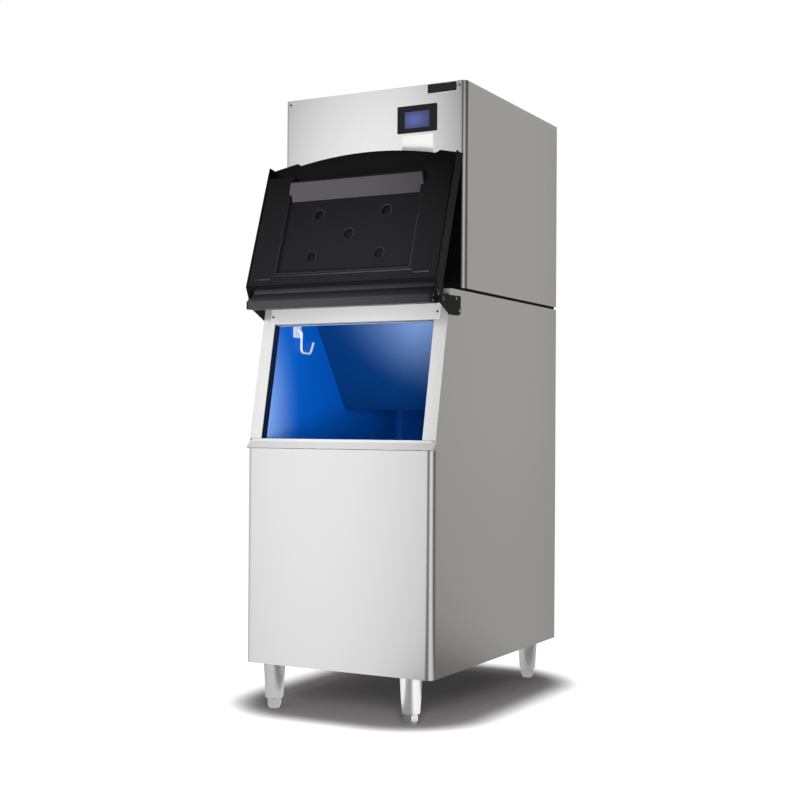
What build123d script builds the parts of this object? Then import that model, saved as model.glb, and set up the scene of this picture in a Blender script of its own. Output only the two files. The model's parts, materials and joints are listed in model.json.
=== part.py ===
"""Modular ice maker: a cube-making head on a sloped, lift-door storage bin with four levelling legs.

Frame: X to the right seen from the front, Y to the back, Z up, floor at Z = 0, millimetres.
The origin is on the floor under the middle of the bin. The door stands open, as it is kept while ice is scooped.
"""
import math
import os

from build123d import *

# Overall sizes
body_width = 560.0
bin_depth = 830.0
leg_height = 120.0
bin_height = 990.0
head_depth = 650.0
head_height = 548.0
head_gap = 8.0
sheet = 1.0

# Bin front: a vertical panel, a knee and a slope that carries the opening
front_panel_height = 575.0
knee_setback = 14.0
knee_rise = 17.6
slope_lean = 11.46
bin_corner_radius = 20.0
bin_return = 21.0
opening_half_width = 242.0
opening_low = 8.0
opening_high = 324.0
jamb_depth = 28.0
strip_width = 38.0
flange = 14.0

# Bin walls
liner_wall = 2.0
liner_floor_rise = 46.0
liner_rear_wall = 40.0
liner_corner_radius = 20.0
drain_radius = 15.0
drain_bore_radius = 12.0
drain_setback = 85.0
drain_drop = 35.0

# Legs and levelling feet
leg_inset_x = 74.0
leg_inset_y = 33.0
leg_top_radius = 29.0
leg_end_radius = 23.3
foot_height = 27.0
foot_across_flats = 35.0
foot_base_radius = 13.0
foot_stem_radius = 6.0
foot_stem_length = 50.0
seat_gap = 0.3
running_gap = 0.05

# Door: a shallow black tray that leans back, hung on two brackets
hinge_y = -380.0
hinge_z = 1078.0
door_lean = 18.25
door_half_width = 288.0
door_wall = 2.5
door_skin_depth = 12.0
door_rim_depth = 47.5
door_rim_start = 36.5
door_rim_end = 394.0
door_corner_rise = 404.0
door_shoulder_rise = 419.5
door_shoulder_x = 220.0
door_notch_rise = 412.3
door_grip_half_width = 208.0
door_crown_rise = 435.0
pivot_radius = 4.0
ear_radius = 11.0
rail_half_length = 272.0
rail_cap = 5.0
bracket_thickness = 5.0
bracket_lobe_radius = 12.0

# Places that follow from those sizes
half_width = body_width / 2
front_y = -bin_depth / 2
rear_y = bin_depth / 2
floor_panel_z = leg_height + sheet
panel_top_z = leg_height + front_panel_height
bin_top_z = leg_height + bin_height
knee_y = front_y + knee_setback
knee_z = panel_top_z + knee_rise
slope_sin = math.sin(math.radians(slope_lean))
slope_cos = math.cos(math.radians(slope_lean))
slope_length = (bin_top_z - knee_z) / slope_cos
head_front_y = rear_y - head_depth
head_floor_z = bin_top_z + head_gap
head_top_z = head_floor_z + head_height
liner_half_width = opening_half_width
leg_x = half_width - leg_inset_x
leg_y = bin_depth / 2 - leg_inset_y
leg_places = [(x, y) for y in (-leg_y, leg_y) for x in (-leg_x, leg_x)]


def on_slope(along, out=0.0):
    """Point (y, z) a distance up the slope from the knee and a distance out of its face."""
    return (
        knee_y + along * slope_sin - out * slope_cos,
        knee_z + along * slope_cos + out * slope_sin,
    )


slope_face = Plane(
    origin=(0, knee_y, knee_z), x_dir=(1, 0, 0), z_dir=(0, -slope_cos, slope_sin)
)
lean_sin = math.sin(math.radians(door_lean))
lean_cos = math.cos(math.radians(door_lean))
door_side = Plane(
    origin=(0, hinge_y, hinge_z), x_dir=(0, lean_sin, lean_cos), z_dir=(1, 0, 0)
)
door_face = Plane(
    origin=(0, hinge_y, hinge_z), x_dir=(1, 0, 0), z_dir=(0, -lean_cos, lean_sin)
)


def slope_section(along):
    """Plane square to the slope: x runs across the bin, y runs into it."""
    y, z = on_slope(along)
    return Plane(origin=(0, y, z), x_dir=(1, 0, 0), z_dir=(0, slope_sin, slope_cos))


def folded(points, thickness, side=Side.LEFT, radius=0.0):
    """Section of a sheet folded along a line of points."""
    with BuildSketch() as section:
        with BuildLine():
            if radius:
                FilletPolyline(*points, radius=radius)
            else:
                Polyline(*points)
            offset(amount=thickness, side=side)
        make_face()
    return section.sketch


def save(piece, name):
    """Label a finished piece and write it as its own file."""
    piece.part.label = name
    export_step(piece.part, f"parts/{name}.step")


os.makedirs("parts", exist_ok=True)

# Bin side panels: the slope, the knee and the nose over the front panel in one folded sheet
side_outline = [
    (rear_y, leg_height),
    (front_y + bin_return + seat_gap, leg_height),
    (front_y + bin_return + seat_gap, panel_top_z + sheet),
    (front_y + 2 * sheet, panel_top_z + sheet),
    on_slope(0, -sheet),
    on_slope(slope_length, -sheet),
    (rear_y, bin_top_z),
]
with BuildPart() as bin_side_left:
    with BuildSketch(Plane.YZ.offset(-half_width)):
        with BuildLine():
            Polyline(*side_outline, close=True)
        make_face()
    extrude(amount=sheet)
    with BuildSketch(Plane.XY.offset(leg_height)):
        with Locations((-half_width + flange / 2, bin_return / 2)):
            Rectangle(flange, bin_depth - bin_return - 2 * seat_gap)
    extrude(amount=sheet)
    with BuildSketch(Plane.XZ.offset(-rear_y)):
        with Locations((-half_width + flange / 2, leg_height + bin_height / 2)):
            Rectangle(flange, bin_height)
    extrude(amount=sheet)
save(bin_side_left, "bin_side_left")

with BuildPart() as bin_side_right:
    mirror(bin_side_left.part, about=Plane.YZ)
save(bin_side_right, "bin_side_right")

# Bin front panel: one sheet rolled round both corners, flanged at the top and the foot
front_wrap = folded(
    [
        (half_width, front_y + bin_return),
        (half_width, front_y),
        (-half_width, front_y),
        (-half_width, front_y + bin_return),
    ],
    sheet,
    Side.RIGHT,
    bin_corner_radius,
)
flange_half = half_width - bin_corner_radius
floor_flange = bin_return + 5
with BuildPart() as bin_front_panel:
    with BuildSketch(Plane.XY.offset(leg_height)):
        add(front_wrap)
    extrude(amount=front_panel_height)
    for flange_z, depth in ((leg_height, floor_flange), (panel_top_z - sheet, flange)):
        with BuildSketch(Plane.XY.offset(flange_z)):
            with Locations((0, front_y + (sheet + depth) / 2)):
                Rectangle(2 * flange_half, depth)
            with Locations(*leg_places):
                Circle(leg_top_radius + seat_gap, mode=Mode.SUBTRACT)
        extrude(amount=sheet)
save(bin_front_panel, "bin_front_panel")

# Bin floor and rear panels
drain_y = rear_y - drain_setback
spigot_radius = 8.0
with BuildPart() as bin_floor_panel:
    with BuildSketch(Plane.XY.offset(floor_panel_z)):
        with Locations((0, (bin_return - 2 * sheet) / 2)):
            Rectangle(body_width - 2 * sheet, bin_depth - bin_return - 2 * sheet)
        with Locations((0, drain_y)):
            Circle(drain_radius + sheet, mode=Mode.SUBTRACT)
        with Locations(*leg_places):
            Circle(spigot_radius + 2 * running_gap, mode=Mode.SUBTRACT)
    extrude(amount=sheet)
save(bin_floor_panel, "bin_floor_panel")

# Bin liner: one moulded tank, open at the top and at the sloped mouth
liner_floor_z = leg_height + liner_floor_rise
liner_front_y, mouth_low_z = on_slope(opening_low, -jamb_depth)
liner_rear_y = rear_y - liner_rear_wall
deck_under_z = bin_top_z - sheet
header_y = on_slope(slope_length, -jamb_depth)[0]


def tank(grow, height):
    """Inside form of the liner, grown by a wall and run up to a height."""
    with BuildPart() as form:
        with BuildSketch(Plane.YZ.offset(-liner_half_width - grow)):
            with BuildLine():
                Polyline(
                    (liner_front_y - grow, liner_floor_z - grow),
                    (liner_rear_y + grow, liner_floor_z - grow),
                    (liner_rear_y + grow, height),
                    (header_y - grow, height),
                    (liner_front_y - grow, mouth_low_z),
                    close=True,
                )
            make_face()
        extrude(amount=2 * (liner_half_width + grow))
        low_edges = form.edges().filter_by(Axis.X).group_by(Axis.Z)[0]
        rear_edges = form.edges().filter_by(Axis.Z).group_by(Axis.Y)[-1]
        fillet(low_edges + rear_edges, radius=liner_corner_radius + grow)
    return form.part


with BuildPart() as mouth:
    with BuildSketch(slope_face.offset(-jamb_depth - 3 * liner_wall)):
        with Locations((0, (opening_low + opening_high) / 2)):
            Rectangle(2 * liner_half_width, opening_high - opening_low)
    extrude(amount=jamb_depth + 6 * liner_wall)

liner_outside = tank(liner_wall, deck_under_z)
with BuildPart() as bin_liner:
    add(liner_outside)
    add(tank(0, bin_top_z), mode=Mode.SUBTRACT)
    add(mouth.part, mode=Mode.SUBTRACT)
    with BuildSketch(Plane.XY.offset(liner_floor_z)):
        with Locations((0, drain_y)):
            Circle(drain_radius + running_gap)
    extrude(amount=-2 * liner_wall, mode=Mode.SUBTRACT)
save(bin_liner, "bin_liner")

# Frame round the opening: two side strips, a crowned top strip and a folded sill
strip_inner = half_width - strip_width
jamb_return = jamb_depth - 4 * sheet
with BuildPart() as frame_strip_right:
    with BuildSketch(slope_section(opening_low)):
        add(
            folded(
                [(strip_inner, jamb_return), (strip_inner, 0), (half_width, 0)],
                sheet,
                Side.LEFT,
            )
        )
    extrude(amount=slope_length - opening_low - sheet)
save(frame_strip_right, "frame_strip_right")

with BuildPart() as frame_strip_left:
    mirror(frame_strip_right.part, about=Plane.YZ)
save(frame_strip_left, "frame_strip_left")

top_strip_half = 258.0
top_strip_crown = 1.4
top_strip_corner = 4.0
top_strip_length = slope_length - opening_high - 2 * sheet
with BuildPart() as frame_strip_top:
    with BuildSketch(slope_face):
        with Locations((0, opening_high + top_strip_length / 2)):
            RectangleRounded(2 * top_strip_half, top_strip_length, top_strip_corner)
    extrude(amount=top_strip_crown)
    outer_face = frame_strip_top.faces().sort_by(Axis((0, 0, 0), (0, -slope_cos, slope_sin)))[-1]
    chamfer(outer_face.edges(), length=sheet / 2)
    with BuildSketch(slope_face):
        with Locations((0, opening_high + sheet / 2)):
            Rectangle(2 * (strip_inner - running_gap), sheet)
    extrude(amount=-jamb_return)
save(frame_strip_top, "frame_strip_top")

# Foam between the liner and the panels, poured in one piece
foam_outline = [
    (rear_y - 2 * sheet, floor_panel_z + sheet),
    (front_y + bin_return + 3 * sheet, floor_panel_z + sheet),
    (front_y + bin_return + 3 * sheet, panel_top_z - 2 * sheet),
    on_slope(opening_low, -jamb_depth),
    on_slope(opening_low, -2 * sheet),
    on_slope(slope_length - 2 * sheet, -2 * sheet),
    (rear_y - 2 * sheet, deck_under_z),
]
with BuildPart() as bin_foam:
    with BuildSketch(Plane.YZ.offset(-half_width + sheet)):
        with BuildLine():
            Polyline(*foam_outline, close=True)
        make_face()
    extrude(amount=body_width - 2 * sheet)
    with BuildSketch(Plane.XY.offset(floor_panel_z + sheet)):
        with Locations((0, front_y + sheet + bin_return / 2 + sheet)):
            Rectangle(2 * flange_half, bin_return + 2 * sheet)
    extrude(amount=front_panel_height - 4 * sheet)
    add(liner_outside, mode=Mode.SUBTRACT)
    for strip in (frame_strip_left, frame_strip_right, frame_strip_top):
        add(strip.part, mode=Mode.SUBTRACT)
    with BuildSketch(slope_face.offset(-jamb_depth)):
        with Locations((0, (opening_low + opening_high) / 2)):
            Rectangle(
                2 * (liner_half_width + liner_wall),
                opening_high - opening_low + 2 * liner_wall,
            )
    extrude(amount=jamb_depth, mode=Mode.SUBTRACT)
    with BuildSketch(Plane.XY.offset(floor_panel_z)):
        with Locations((0, drain_y)):
            Circle(drain_radius + sheet)
    extrude(amount=liner_floor_rise, mode=Mode.SUBTRACT)
save(bin_foam, "bin_foam")

sill_points = [
    on_slope(opening_low - sheet, -jamb_return),
    on_slope(opening_low - sheet, 0),
    on_slope(0, 0),
    (front_y, panel_top_z + sheet),
    (front_y, panel_top_z),
    (front_y + flange, panel_top_z),
]
with BuildPart() as frame_sill:
    with BuildSketch(Plane.YZ.offset(-half_width)):
        add(folded(sill_points, sheet, Side.LEFT))
    extrude(amount=body_width)
    with BuildSketch(Plane.YZ.offset(-half_width)):
        with BuildLine():
            Polyline(*side_outline, close=True)
        make_face()
    extrude(amount=sheet, mode=Mode.SUBTRACT)
    with BuildSketch(Plane.YZ.offset(half_width)):
        with BuildLine():
            Polyline(*side_outline, close=True)
        make_face()
    extrude(amount=-sheet, mode=Mode.SUBTRACT)
save(frame_sill, "frame_sill")

# Bin top deck with the ice drop hole, turned down over the header
drop_half_width = 205.0
drop_front_y = -150.0
drop_rear_y = 90.0
with BuildPart() as bin_top_deck:
    with BuildSketch(Plane.XY.offset(deck_under_z)):
        deck_front_y = on_slope(slope_length, 0)[0]
        with Locations((0, (deck_front_y + rear_y - sheet) / 2)):
            Rectangle(body_width - 2 * sheet, rear_y - sheet - deck_front_y)
        with Locations((0, (drop_front_y + drop_rear_y) / 2)):
            Rectangle(
                2 * drop_half_width + 20, drop_rear_y - drop_front_y + 10, mode=Mode.SUBTRACT
            )
    extrude(amount=sheet)
save(bin_top_deck, "bin_top_deck")

with BuildPart() as bin_rear_panel:
    with BuildSketch(Plane.XZ.offset(-(rear_y - 2 * sheet))):
        with Locations((0, (floor_panel_z + deck_under_z) / 2)):
            Rectangle(body_width - 2 * sheet, deck_under_z - floor_panel_z)
    extrude(amount=-sheet)
save(bin_rear_panel, "bin_rear_panel")

# Ice deflector: a folded plate that slopes back from the deck so that ice falls behind the mouth
deflector_top_y = -164.0
deflector_low_y = 48.0
deflector_low_z = 803.0
deflector_lip = 26.0
with BuildPart() as ice_deflector:
    with BuildSketch(Plane.YZ.offset(-liner_half_width + running_gap)):
        add(
            folded(
                [
                    (deflector_top_y - deflector_lip, deck_under_z),
                    (deflector_top_y, deck_under_z),
                    (deflector_low_y, deflector_low_z),
                ],
                liner_wall,
                Side.RIGHT,
            )
        )
    extrude(amount=2 * (liner_half_width - running_gap))
save(ice_deflector, "ice_deflector")

# Scoop hook moulded with its wall plate
hook_plate_y = -228.0
hook_rod = 3.4
hook_x = -liner_half_width + 7
with BuildPart() as scoop_hook:
    with BuildSketch(Plane.YZ.offset(-liner_half_width)):
        with Locations((hook_plate_y, 1022)):
            RectangleRounded(32, 44, 5)
    extrude(amount=6)
    with BuildLine() as hook_line:
        FilletPolyline(
            (hook_x, -230, 1022),
            (hook_x, -212, 1022),
            (hook_x, -214, 960),
            (hook_x, -166, 958),
            (hook_x, -149, 990),
            radius=13,
        )
    with BuildSketch(Plane(origin=hook_line.line @ 0, z_dir=hook_line.line % 0)):
        Circle(hook_rod)
    sweep(path=hook_line.line)
save(scoop_hook, "scoop_hook")

# Drain fitting: flange on the tank floor, collar under the floor panel, spigot below
with BuildPart() as drain_fitting:
    with BuildSketch(Plane.XY.offset(liner_floor_z)):
        with Locations((0, drain_y)):
            Circle(drain_radius + 10)
    extrude(amount=3)
    with BuildSketch(Plane.XY.offset(leg_height - drain_drop)):
        with Locations((0, drain_y)):
            Circle(drain_radius)
    extrude(amount=liner_floor_z - leg_height + drain_drop)
    with BuildSketch(Plane.XY.offset(floor_panel_z)):
        with Locations((0, drain_y)):
            RegularPolygon(drain_radius + 8, 6)
    extrude(amount=-9)
    with BuildSketch(Plane.XY.offset(leg_height - drain_drop)):
        with Locations((0, drain_y)):
            Circle(drain_bore_radius)
    extrude(amount=liner_floor_z, mode=Mode.SUBTRACT)
save(drain_fitting, "drain_fitting")

# Legs: tapered tubes, capped at the top and closed round the foot stem below
leg_names = ["front_left", "front_right", "rear_left", "rear_right"]
for leg_name, (x, y) in zip(leg_names, leg_places):
    with BuildPart() as leg:
        with BuildSketch(Plane.XZ.offset(-y)):
            with BuildLine():
                Polyline(
                    (x, foot_height + seat_gap),
                    (x + leg_end_radius, foot_height + seat_gap),
                    (x + leg_top_radius, floor_panel_z),
                    (x + spigot_radius, floor_panel_z),
                    (x + spigot_radius, floor_panel_z + sheet),
                    (x, floor_panel_z + sheet),
                    close=True,
                )
            make_face()
        revolve(axis=Axis((x, y, 0), (0, 0, 1)))
        chamfer(leg.edges().sort_by(Axis.Z)[0], length=1.5)
        with BuildSketch(Plane.XY.offset(foot_height)):
            with Locations((x, y)):
                Circle(foot_stem_radius + running_gap)
        extrude(amount=foot_stem_length + sheet, mode=Mode.SUBTRACT)
    save(leg, f"leg_{leg_name}")

    with BuildPart() as foot:
        with BuildSketch():
            with Locations((x, y)):
                RegularPolygon(foot_across_flats / 2, 6, major_radius=False)
        extrude(amount=foot_height)
        with BuildSketch(Plane.XZ.offset(-y)):
            with BuildLine():
                Polyline(
                    (x, 0),
                    (x + foot_base_radius, 0),
                    (x + foot_across_flats / 2, foot_height / 3),
                    (x + foot_across_flats * 0.58, foot_height / 2.4),
                    (x + foot_across_flats * 0.58, foot_height - 3),
                    (x + foot_across_flats / 2, foot_height),
                    (x, foot_height),
                    close=True,
                )
            make_face()
        revolve(axis=Axis((x, y, 0), (0, 0, 1)), mode=Mode.INTERSECT)
        with BuildSketch(Plane.XY.offset(foot_height)):
            with Locations((x, y)):
                Circle(foot_stem_radius)
        extrude(amount=foot_stem_length)
    save(foot, f"foot_{leg_name}")

# Hinge brackets: black plates on the bin sides, with a lobe round the pivot
bracket_outline = [
    (hinge_y, hinge_z + bracket_lobe_radius),
    (-268.5, 1093.0),
    (-268.5, 1048.0),
    (-278.0, 1042.5),
    (-329.0, 1042.0),
    (hinge_y - 1, hinge_z - bracket_lobe_radius),
]
bracket_screws = [(-299.0, 1085.0), (-280.0, 1054.0)]
with BuildPart() as hinge_bracket_right:
    with BuildSketch(Plane.YZ.offset(half_width)):
        with BuildLine():
            Polyline(*bracket_outline, close=True)
        make_face()
        with Locations((hinge_y, hinge_z)):
            Circle(bracket_lobe_radius)
            Circle(pivot_radius, mode=Mode.SUBTRACT)
    extrude(amount=bracket_thickness)
save(hinge_bracket_right, "hinge_bracket_right")

with BuildPart() as hinge_bracket_left:
    mirror(hinge_bracket_right.part, about=Plane.YZ)
save(hinge_bracket_left, "hinge_bracket_left")

wall_inner = door_half_width - door_wall
with BuildPart() as hinge_pins:
    with BuildSketch(Plane.YZ.offset(half_width)):
        with Locations((hinge_y, hinge_z)):
            Circle(pivot_radius)
    extrude(amount=door_half_width - half_width + seat_gap)
    with BuildSketch(Plane.YZ.offset(door_half_width + seat_gap)):
        with Locations((hinge_y, hinge_z)):
            Circle(pivot_radius + 3)
    extrude(amount=1.5)
    mirror(about=Plane.YZ)
save(hinge_pins, "hinge_pins")


def door_profile(points, start, length, thickness):
    """Strip of the door folded along (rise, depth) points, run along the width."""
    with BuildPart() as strip:
        with BuildSketch(door_side.offset(start)):
            add(folded(points, thickness, Side.RIGHT))
        extrude(amount=length)
    return strip.part


# Door shell: outer skin with a crowned grip lip, two side walls and their pivot ears
skin_back = door_skin_depth + door_wall
with BuildPart() as door_shell:
    with BuildSketch(door_face.offset(door_skin_depth)):
        with BuildLine():
            lip = ThreePointArc(
                (door_grip_half_width, door_notch_rise),
                (0, door_crown_rise),
                (-door_grip_half_width, door_notch_rise),
            )
            Polyline(
                lip @ 1,
                (-door_shoulder_x, door_shoulder_rise),
                (-door_half_width, door_corner_rise),
                (-door_half_width, door_rim_start),
                (door_half_width, door_rim_start),
                (door_half_width, door_corner_rise),
                (door_shoulder_x, door_shoulder_rise),
                lip @ 0,
            )
        make_face()
    extrude(amount=door_wall)
    # foot wall that closes the tray above the rail
    add(
        door_profile(
            [(door_rim_start, skin_back), (door_rim_start, door_rim_depth - 6)],
            -wall_inner,
            2 * wall_inner,
            door_wall,
        )
    )
    for side in (-1, 1):
        with BuildSketch(door_side.offset(side * wall_inner)):
            with BuildLine():
                Polyline(
                    (door_rim_start, door_rim_depth),
                    (door_rim_end, door_rim_depth),
                    (door_corner_rise - 4, skin_back),
                    (door_corner_rise - 4, door_skin_depth),
                    (door_rim_start, door_skin_depth),
                    (-ear_radius * 0.3, -ear_radius * 0.95),
                    (-ear_radius * 0.55, ear_radius * 0.83),
                    close=True,
                )
            make_face()
            Circle(ear_radius)
            Circle(pivot_radius + running_gap, mode=Mode.SUBTRACT)
        extrude(amount=side * door_wall)
save(door_shell, "door_shell")

# Door inner panel: a border, a sunk middle with five dimples and a wedge that fingers hold
border_depth = door_rim_depth - 1.5
sunk_depth = border_depth - 7
panel_wall = 2.5
sunk_half_width = 200.0
sunk_low = 74.0
sunk_high = 285.0
wedge_half_width = 206.0
wedge_low = 305.0
wedge_top = 336.0
wedge_depth = 57.0
panel_half_width = wall_inner - 3.5
border_end = 362.0
dimple_radius = 14.0
dimple_depth = 9.0
dimple_places = [(-102.5, 242.5), (102.5, 242.5), (0, 181.0), (-102.5, 120.0), (102.5, 120.0)]
foot_wall_top = door_rim_start + door_wall
with BuildPart() as door_panel:
    with BuildSketch(door_face.offset(border_depth - panel_wall)):
        with Locations((0, (foot_wall_top + border_end) / 2)):
            Rectangle(2 * panel_half_width, border_end - foot_wall_top)
        with Locations((0, (sunk_low + border_end) / 2)):
            Rectangle(2 * wedge_half_width, border_end - sunk_low, mode=Mode.SUBTRACT)
    extrude(amount=panel_wall)
    sunk_points = [
        (sunk_low - panel_wall, border_depth),
        (sunk_low, border_depth),
        (sunk_low + 5, sunk_depth),
        (sunk_high, sunk_depth),
        (wedge_low, border_depth),
        (wedge_top, wedge_depth),
        (wedge_top + 5, wedge_depth - 2),
        (wedge_top + 9, skin_back + panel_wall + 1),
        (wedge_top + 24, skin_back + panel_wall + 1),
    ]
    add(door_profile(sunk_points, -wedge_half_width, 2 * wedge_half_width, panel_wall))
    cheek = [
        (sunk_low, sunk_depth - panel_wall),
        (sunk_low, border_depth),
        (wedge_low, border_depth),
        (wedge_top, wedge_depth),
        (wedge_top + 5, wedge_depth - 2),
        (wedge_top + 7, border_depth),
        (border_end, border_depth),
        (border_end, skin_back + 1),
        (wedge_top + 9, skin_back + 1),
        (wedge_top, sunk_depth - panel_wall),
    ]
    for side in (-1, 1):
        with BuildSketch(door_side.offset(side * wedge_half_width)):
            with BuildLine():
                Polyline(*cheek, close=True)
            make_face()
        extrude(amount=-side * (wedge_half_width - sunk_half_width))
    with Locations(door_face.offset(sunk_depth)):
        with Locations(*dimple_places):
            Cylinder(
                dimple_radius + panel_wall,
                dimple_depth + panel_wall,
                align=(Align.CENTER, Align.CENTER, Align.MAX),
            )
            Cylinder(
                dimple_radius,
                dimple_depth,
                align=(Align.CENTER, Align.CENTER, Align.MAX),
                mode=Mode.SUBTRACT,
            )
    # outer flange that seats the panel on the skin all round
    for side in (-1, 1):
        with BuildSketch(door_side.offset(side * panel_half_width)):
            with BuildLine():
                Polyline(
                    (foot_wall_top, border_depth),
                    (border_end, border_depth),
                    (border_end, skin_back),
                    (foot_wall_top, skin_back),
                    close=True,
                )
            make_face()
        extrude(amount=-side * panel_wall)
save(door_panel, "door_panel")

# Hinge rail: an extruded bar under the tray, with a tongue that carries the door shell
rail_points = [
    (-26.9, 40.1),
    (-6.5, 46.8),
    (22.9, 26.5),
    (door_rim_start, 26.5),
    (door_rim_start, skin_back + 2),
    (22.9, skin_back + 2),
    (-11.4, -3.7),
]
rail_wall = 2.0
with BuildPart() as door_rail:
    with BuildSketch(door_side.offset(-rail_half_length)):
        with BuildLine():
            Polyline(*rail_points, close=True)
        make_face()
        offset(amount=-rail_wall, mode=Mode.SUBTRACT)
    extrude(amount=2 * rail_half_length)
save(door_rail, "door_rail")

with BuildPart() as rail_end_caps:
    with BuildSketch(door_side.offset(rail_half_length)):
        with BuildLine():
            Polyline(*rail_points, close=True)
        make_face()
        offset(amount=-0.8)
    extrude(amount=rail_cap)
    mirror(about=Plane.YZ)
save(rail_end_caps, "rail_end_caps")

rail_screw_places = [(16.0, 24.0), (-4.0, 34.0), (-19.0, 33.0)]
small_screw_radius = 2.6
with BuildPart() as rail_screws:
    with Locations(door_side.offset(rail_half_length + rail_cap)):
        with Locations(*rail_screw_places):
            Cylinder(small_screw_radius, 1.6, align=(Align.CENTER, Align.CENTER, Align.MIN))
    mirror(about=Plane.YZ)
save(rail_screws, "rail_screws")

# Head: gasket, floor pan with the drop hole, wrapped front, sides, lid and louvred rear
ring_width = 22.0
ring_inset = 5.0
with BuildPart() as head_gasket:
    with BuildSketch(Plane.XY.offset(bin_top_z)):
        with Locations((0, (head_front_y + rear_y) / 2)):
            Rectangle(body_width - 2 * ring_inset, head_depth - 2 * ring_inset)
            Rectangle(
                body_width - 2 * (ring_inset + ring_width),
                head_depth - 2 * (ring_inset + ring_width),
                mode=Mode.SUBTRACT,
            )
    extrude(amount=head_gap)
save(head_gasket, "head_gasket")

head_corner_radius = 15.0
head_return = 16.0
pan_thickness = 2.0
chute_rear_y = -20.0
lid_skirt = 11.0
head_side_top = head_top_z - sheet - lid_skirt
with BuildPart() as head_floor_pan:
    with BuildSketch(Plane.XY.offset(head_floor_z)):
        with Locations((0, (head_front_y + head_return + rear_y) / 2)):
            Rectangle(body_width - 2 * sheet, head_depth - head_return - 2 * sheet)
        with Locations((0, head_front_y + head_return / 2 + sheet)):
            Rectangle(body_width - 2 * head_corner_radius, head_return)
        with Locations((0, (drop_front_y + chute_rear_y) / 2)):
            Rectangle(2 * drop_half_width, chute_rear_y - drop_front_y, mode=Mode.SUBTRACT)
    extrude(amount=pan_thickness)
save(head_floor_pan, "head_floor_pan")

bezel_left, bezel_right = 78.0, 196.0
bezel_low, bezel_high = 1540.0, 1613.0
bezel_lip = 5.0
head_wrap = folded(
    [
        (half_width, head_front_y + head_return),
        (half_width, head_front_y),
        (-half_width, head_front_y),
        (-half_width, head_front_y + head_return),
    ],
    sheet,
    Side.RIGHT,
    head_corner_radius,
)
bezel_x = (bezel_left + bezel_right) / 2
bezel_z = (bezel_low + bezel_high) / 2
bezel_width = bezel_right - bezel_left
bezel_height = bezel_high - bezel_low
with BuildPart() as head_front_panel:
    with BuildSketch(Plane.XY.offset(head_floor_z)):
        add(head_wrap)
    extrude(amount=head_height)
    with BuildSketch(Plane.XZ.offset(-head_front_y)):
        with Locations((bezel_x, bezel_z)):
            Rectangle(bezel_width - 2 * bezel_lip, bezel_height - 2 * bezel_lip)
    extrude(amount=-2 * sheet, mode=Mode.SUBTRACT)
save(head_front_panel, "head_front_panel")

side_front_y = head_front_y + head_return + seat_gap
with BuildPart() as head_side_right:
    with BuildSketch(Plane.YZ.offset(half_width)):
        with Locations(((side_front_y + rear_y) / 2, (head_floor_z + head_side_top) / 2)):
            Rectangle(rear_y - side_front_y, head_side_top - head_floor_z)
    extrude(amount=-sheet)
    with BuildSketch(Plane.XZ.offset(-rear_y)):
        with Locations((half_width - flange / 2, (head_floor_z + head_side_top) / 2)):
            Rectangle(flange, head_side_top - head_floor_z)
    extrude(amount=sheet)
save(head_side_right, "head_side_right")

with BuildPart() as head_side_left:
    mirror(head_side_right.part, about=Plane.YZ)
save(head_side_left, "head_side_left")

with BuildPart() as head_lid:
    with BuildSketch(Plane.XY.offset(head_side_top)):
        with Locations((0, (side_front_y + rear_y) / 2)):
            Rectangle(body_width, rear_y - side_front_y)
    extrude(amount=lid_skirt + sheet)
    with BuildSketch(Plane.XY.offset(head_side_top)):
        with Locations((0, (side_front_y + rear_y) / 2 - sheet)):
            Rectangle(body_width - 2 * sheet, rear_y - side_front_y)
    extrude(amount=lid_skirt, mode=Mode.SUBTRACT)
    with BuildSketch(Plane.XY.offset(head_top_z - sheet)):
        with Locations((0, head_front_y + sheet + head_return / 2)):
            Rectangle(2 * flange_half, head_return)
    extrude(amount=sheet)
save(head_lid, "head_lid")

louvre_width = 105.0
louvre_pitch = 20.0
louvre_rows = 13
louvre_low_z = 1150.0
louvre_columns = [-185.0, -65.0, 65.0, 185.0]
louvre_hood = 6.0
louvre_lip = 1.4
inlet_x, inlet_z = -200.0, 1585.0
inlet_radius = 13.2
gland_x, gland_z = 200.0, 1585.0
gland_radius = 9.0
with BuildPart() as head_rear_panel:
    with BuildSketch(Plane.XZ.offset(-(rear_y - sheet))):
        with Locations((0, (head_floor_z + pan_thickness + head_side_top) / 2)):
            Rectangle(body_width - 2 * sheet, head_side_top - head_floor_z - pan_thickness)
        for column in louvre_columns:
            for row in range(louvre_rows):
                with Locations((column, louvre_low_z + row * louvre_pitch)):
                    Rectangle(louvre_width, louvre_hood, mode=Mode.SUBTRACT)
        with Locations((inlet_x, inlet_z)):
            Circle(inlet_radius + seat_gap, mode=Mode.SUBTRACT)
        with Locations((gland_x, gland_z)):
            Circle(gland_radius + seat_gap, mode=Mode.SUBTRACT)
    extrude(amount=sheet)
    for column in louvre_columns:
        with BuildSketch(Plane.YZ.offset(column - louvre_width / 2)):
            for row in range(louvre_rows):
                slot_z = louvre_low_z + row * louvre_pitch
                with BuildLine():
                    Polyline(
                        (rear_y - sheet, slot_z + louvre_hood / 2),
                        (rear_y - sheet, slot_z + louvre_hood / 2 + louvre_lip),
                        (rear_y + louvre_hood, slot_z - louvre_hood / 2 + louvre_lip),
                        (rear_y + louvre_hood, slot_z - louvre_hood / 2),
                        close=True,
                    )
                make_face()
        extrude(amount=louvre_width)
save(head_rear_panel, "head_rear_panel")

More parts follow.
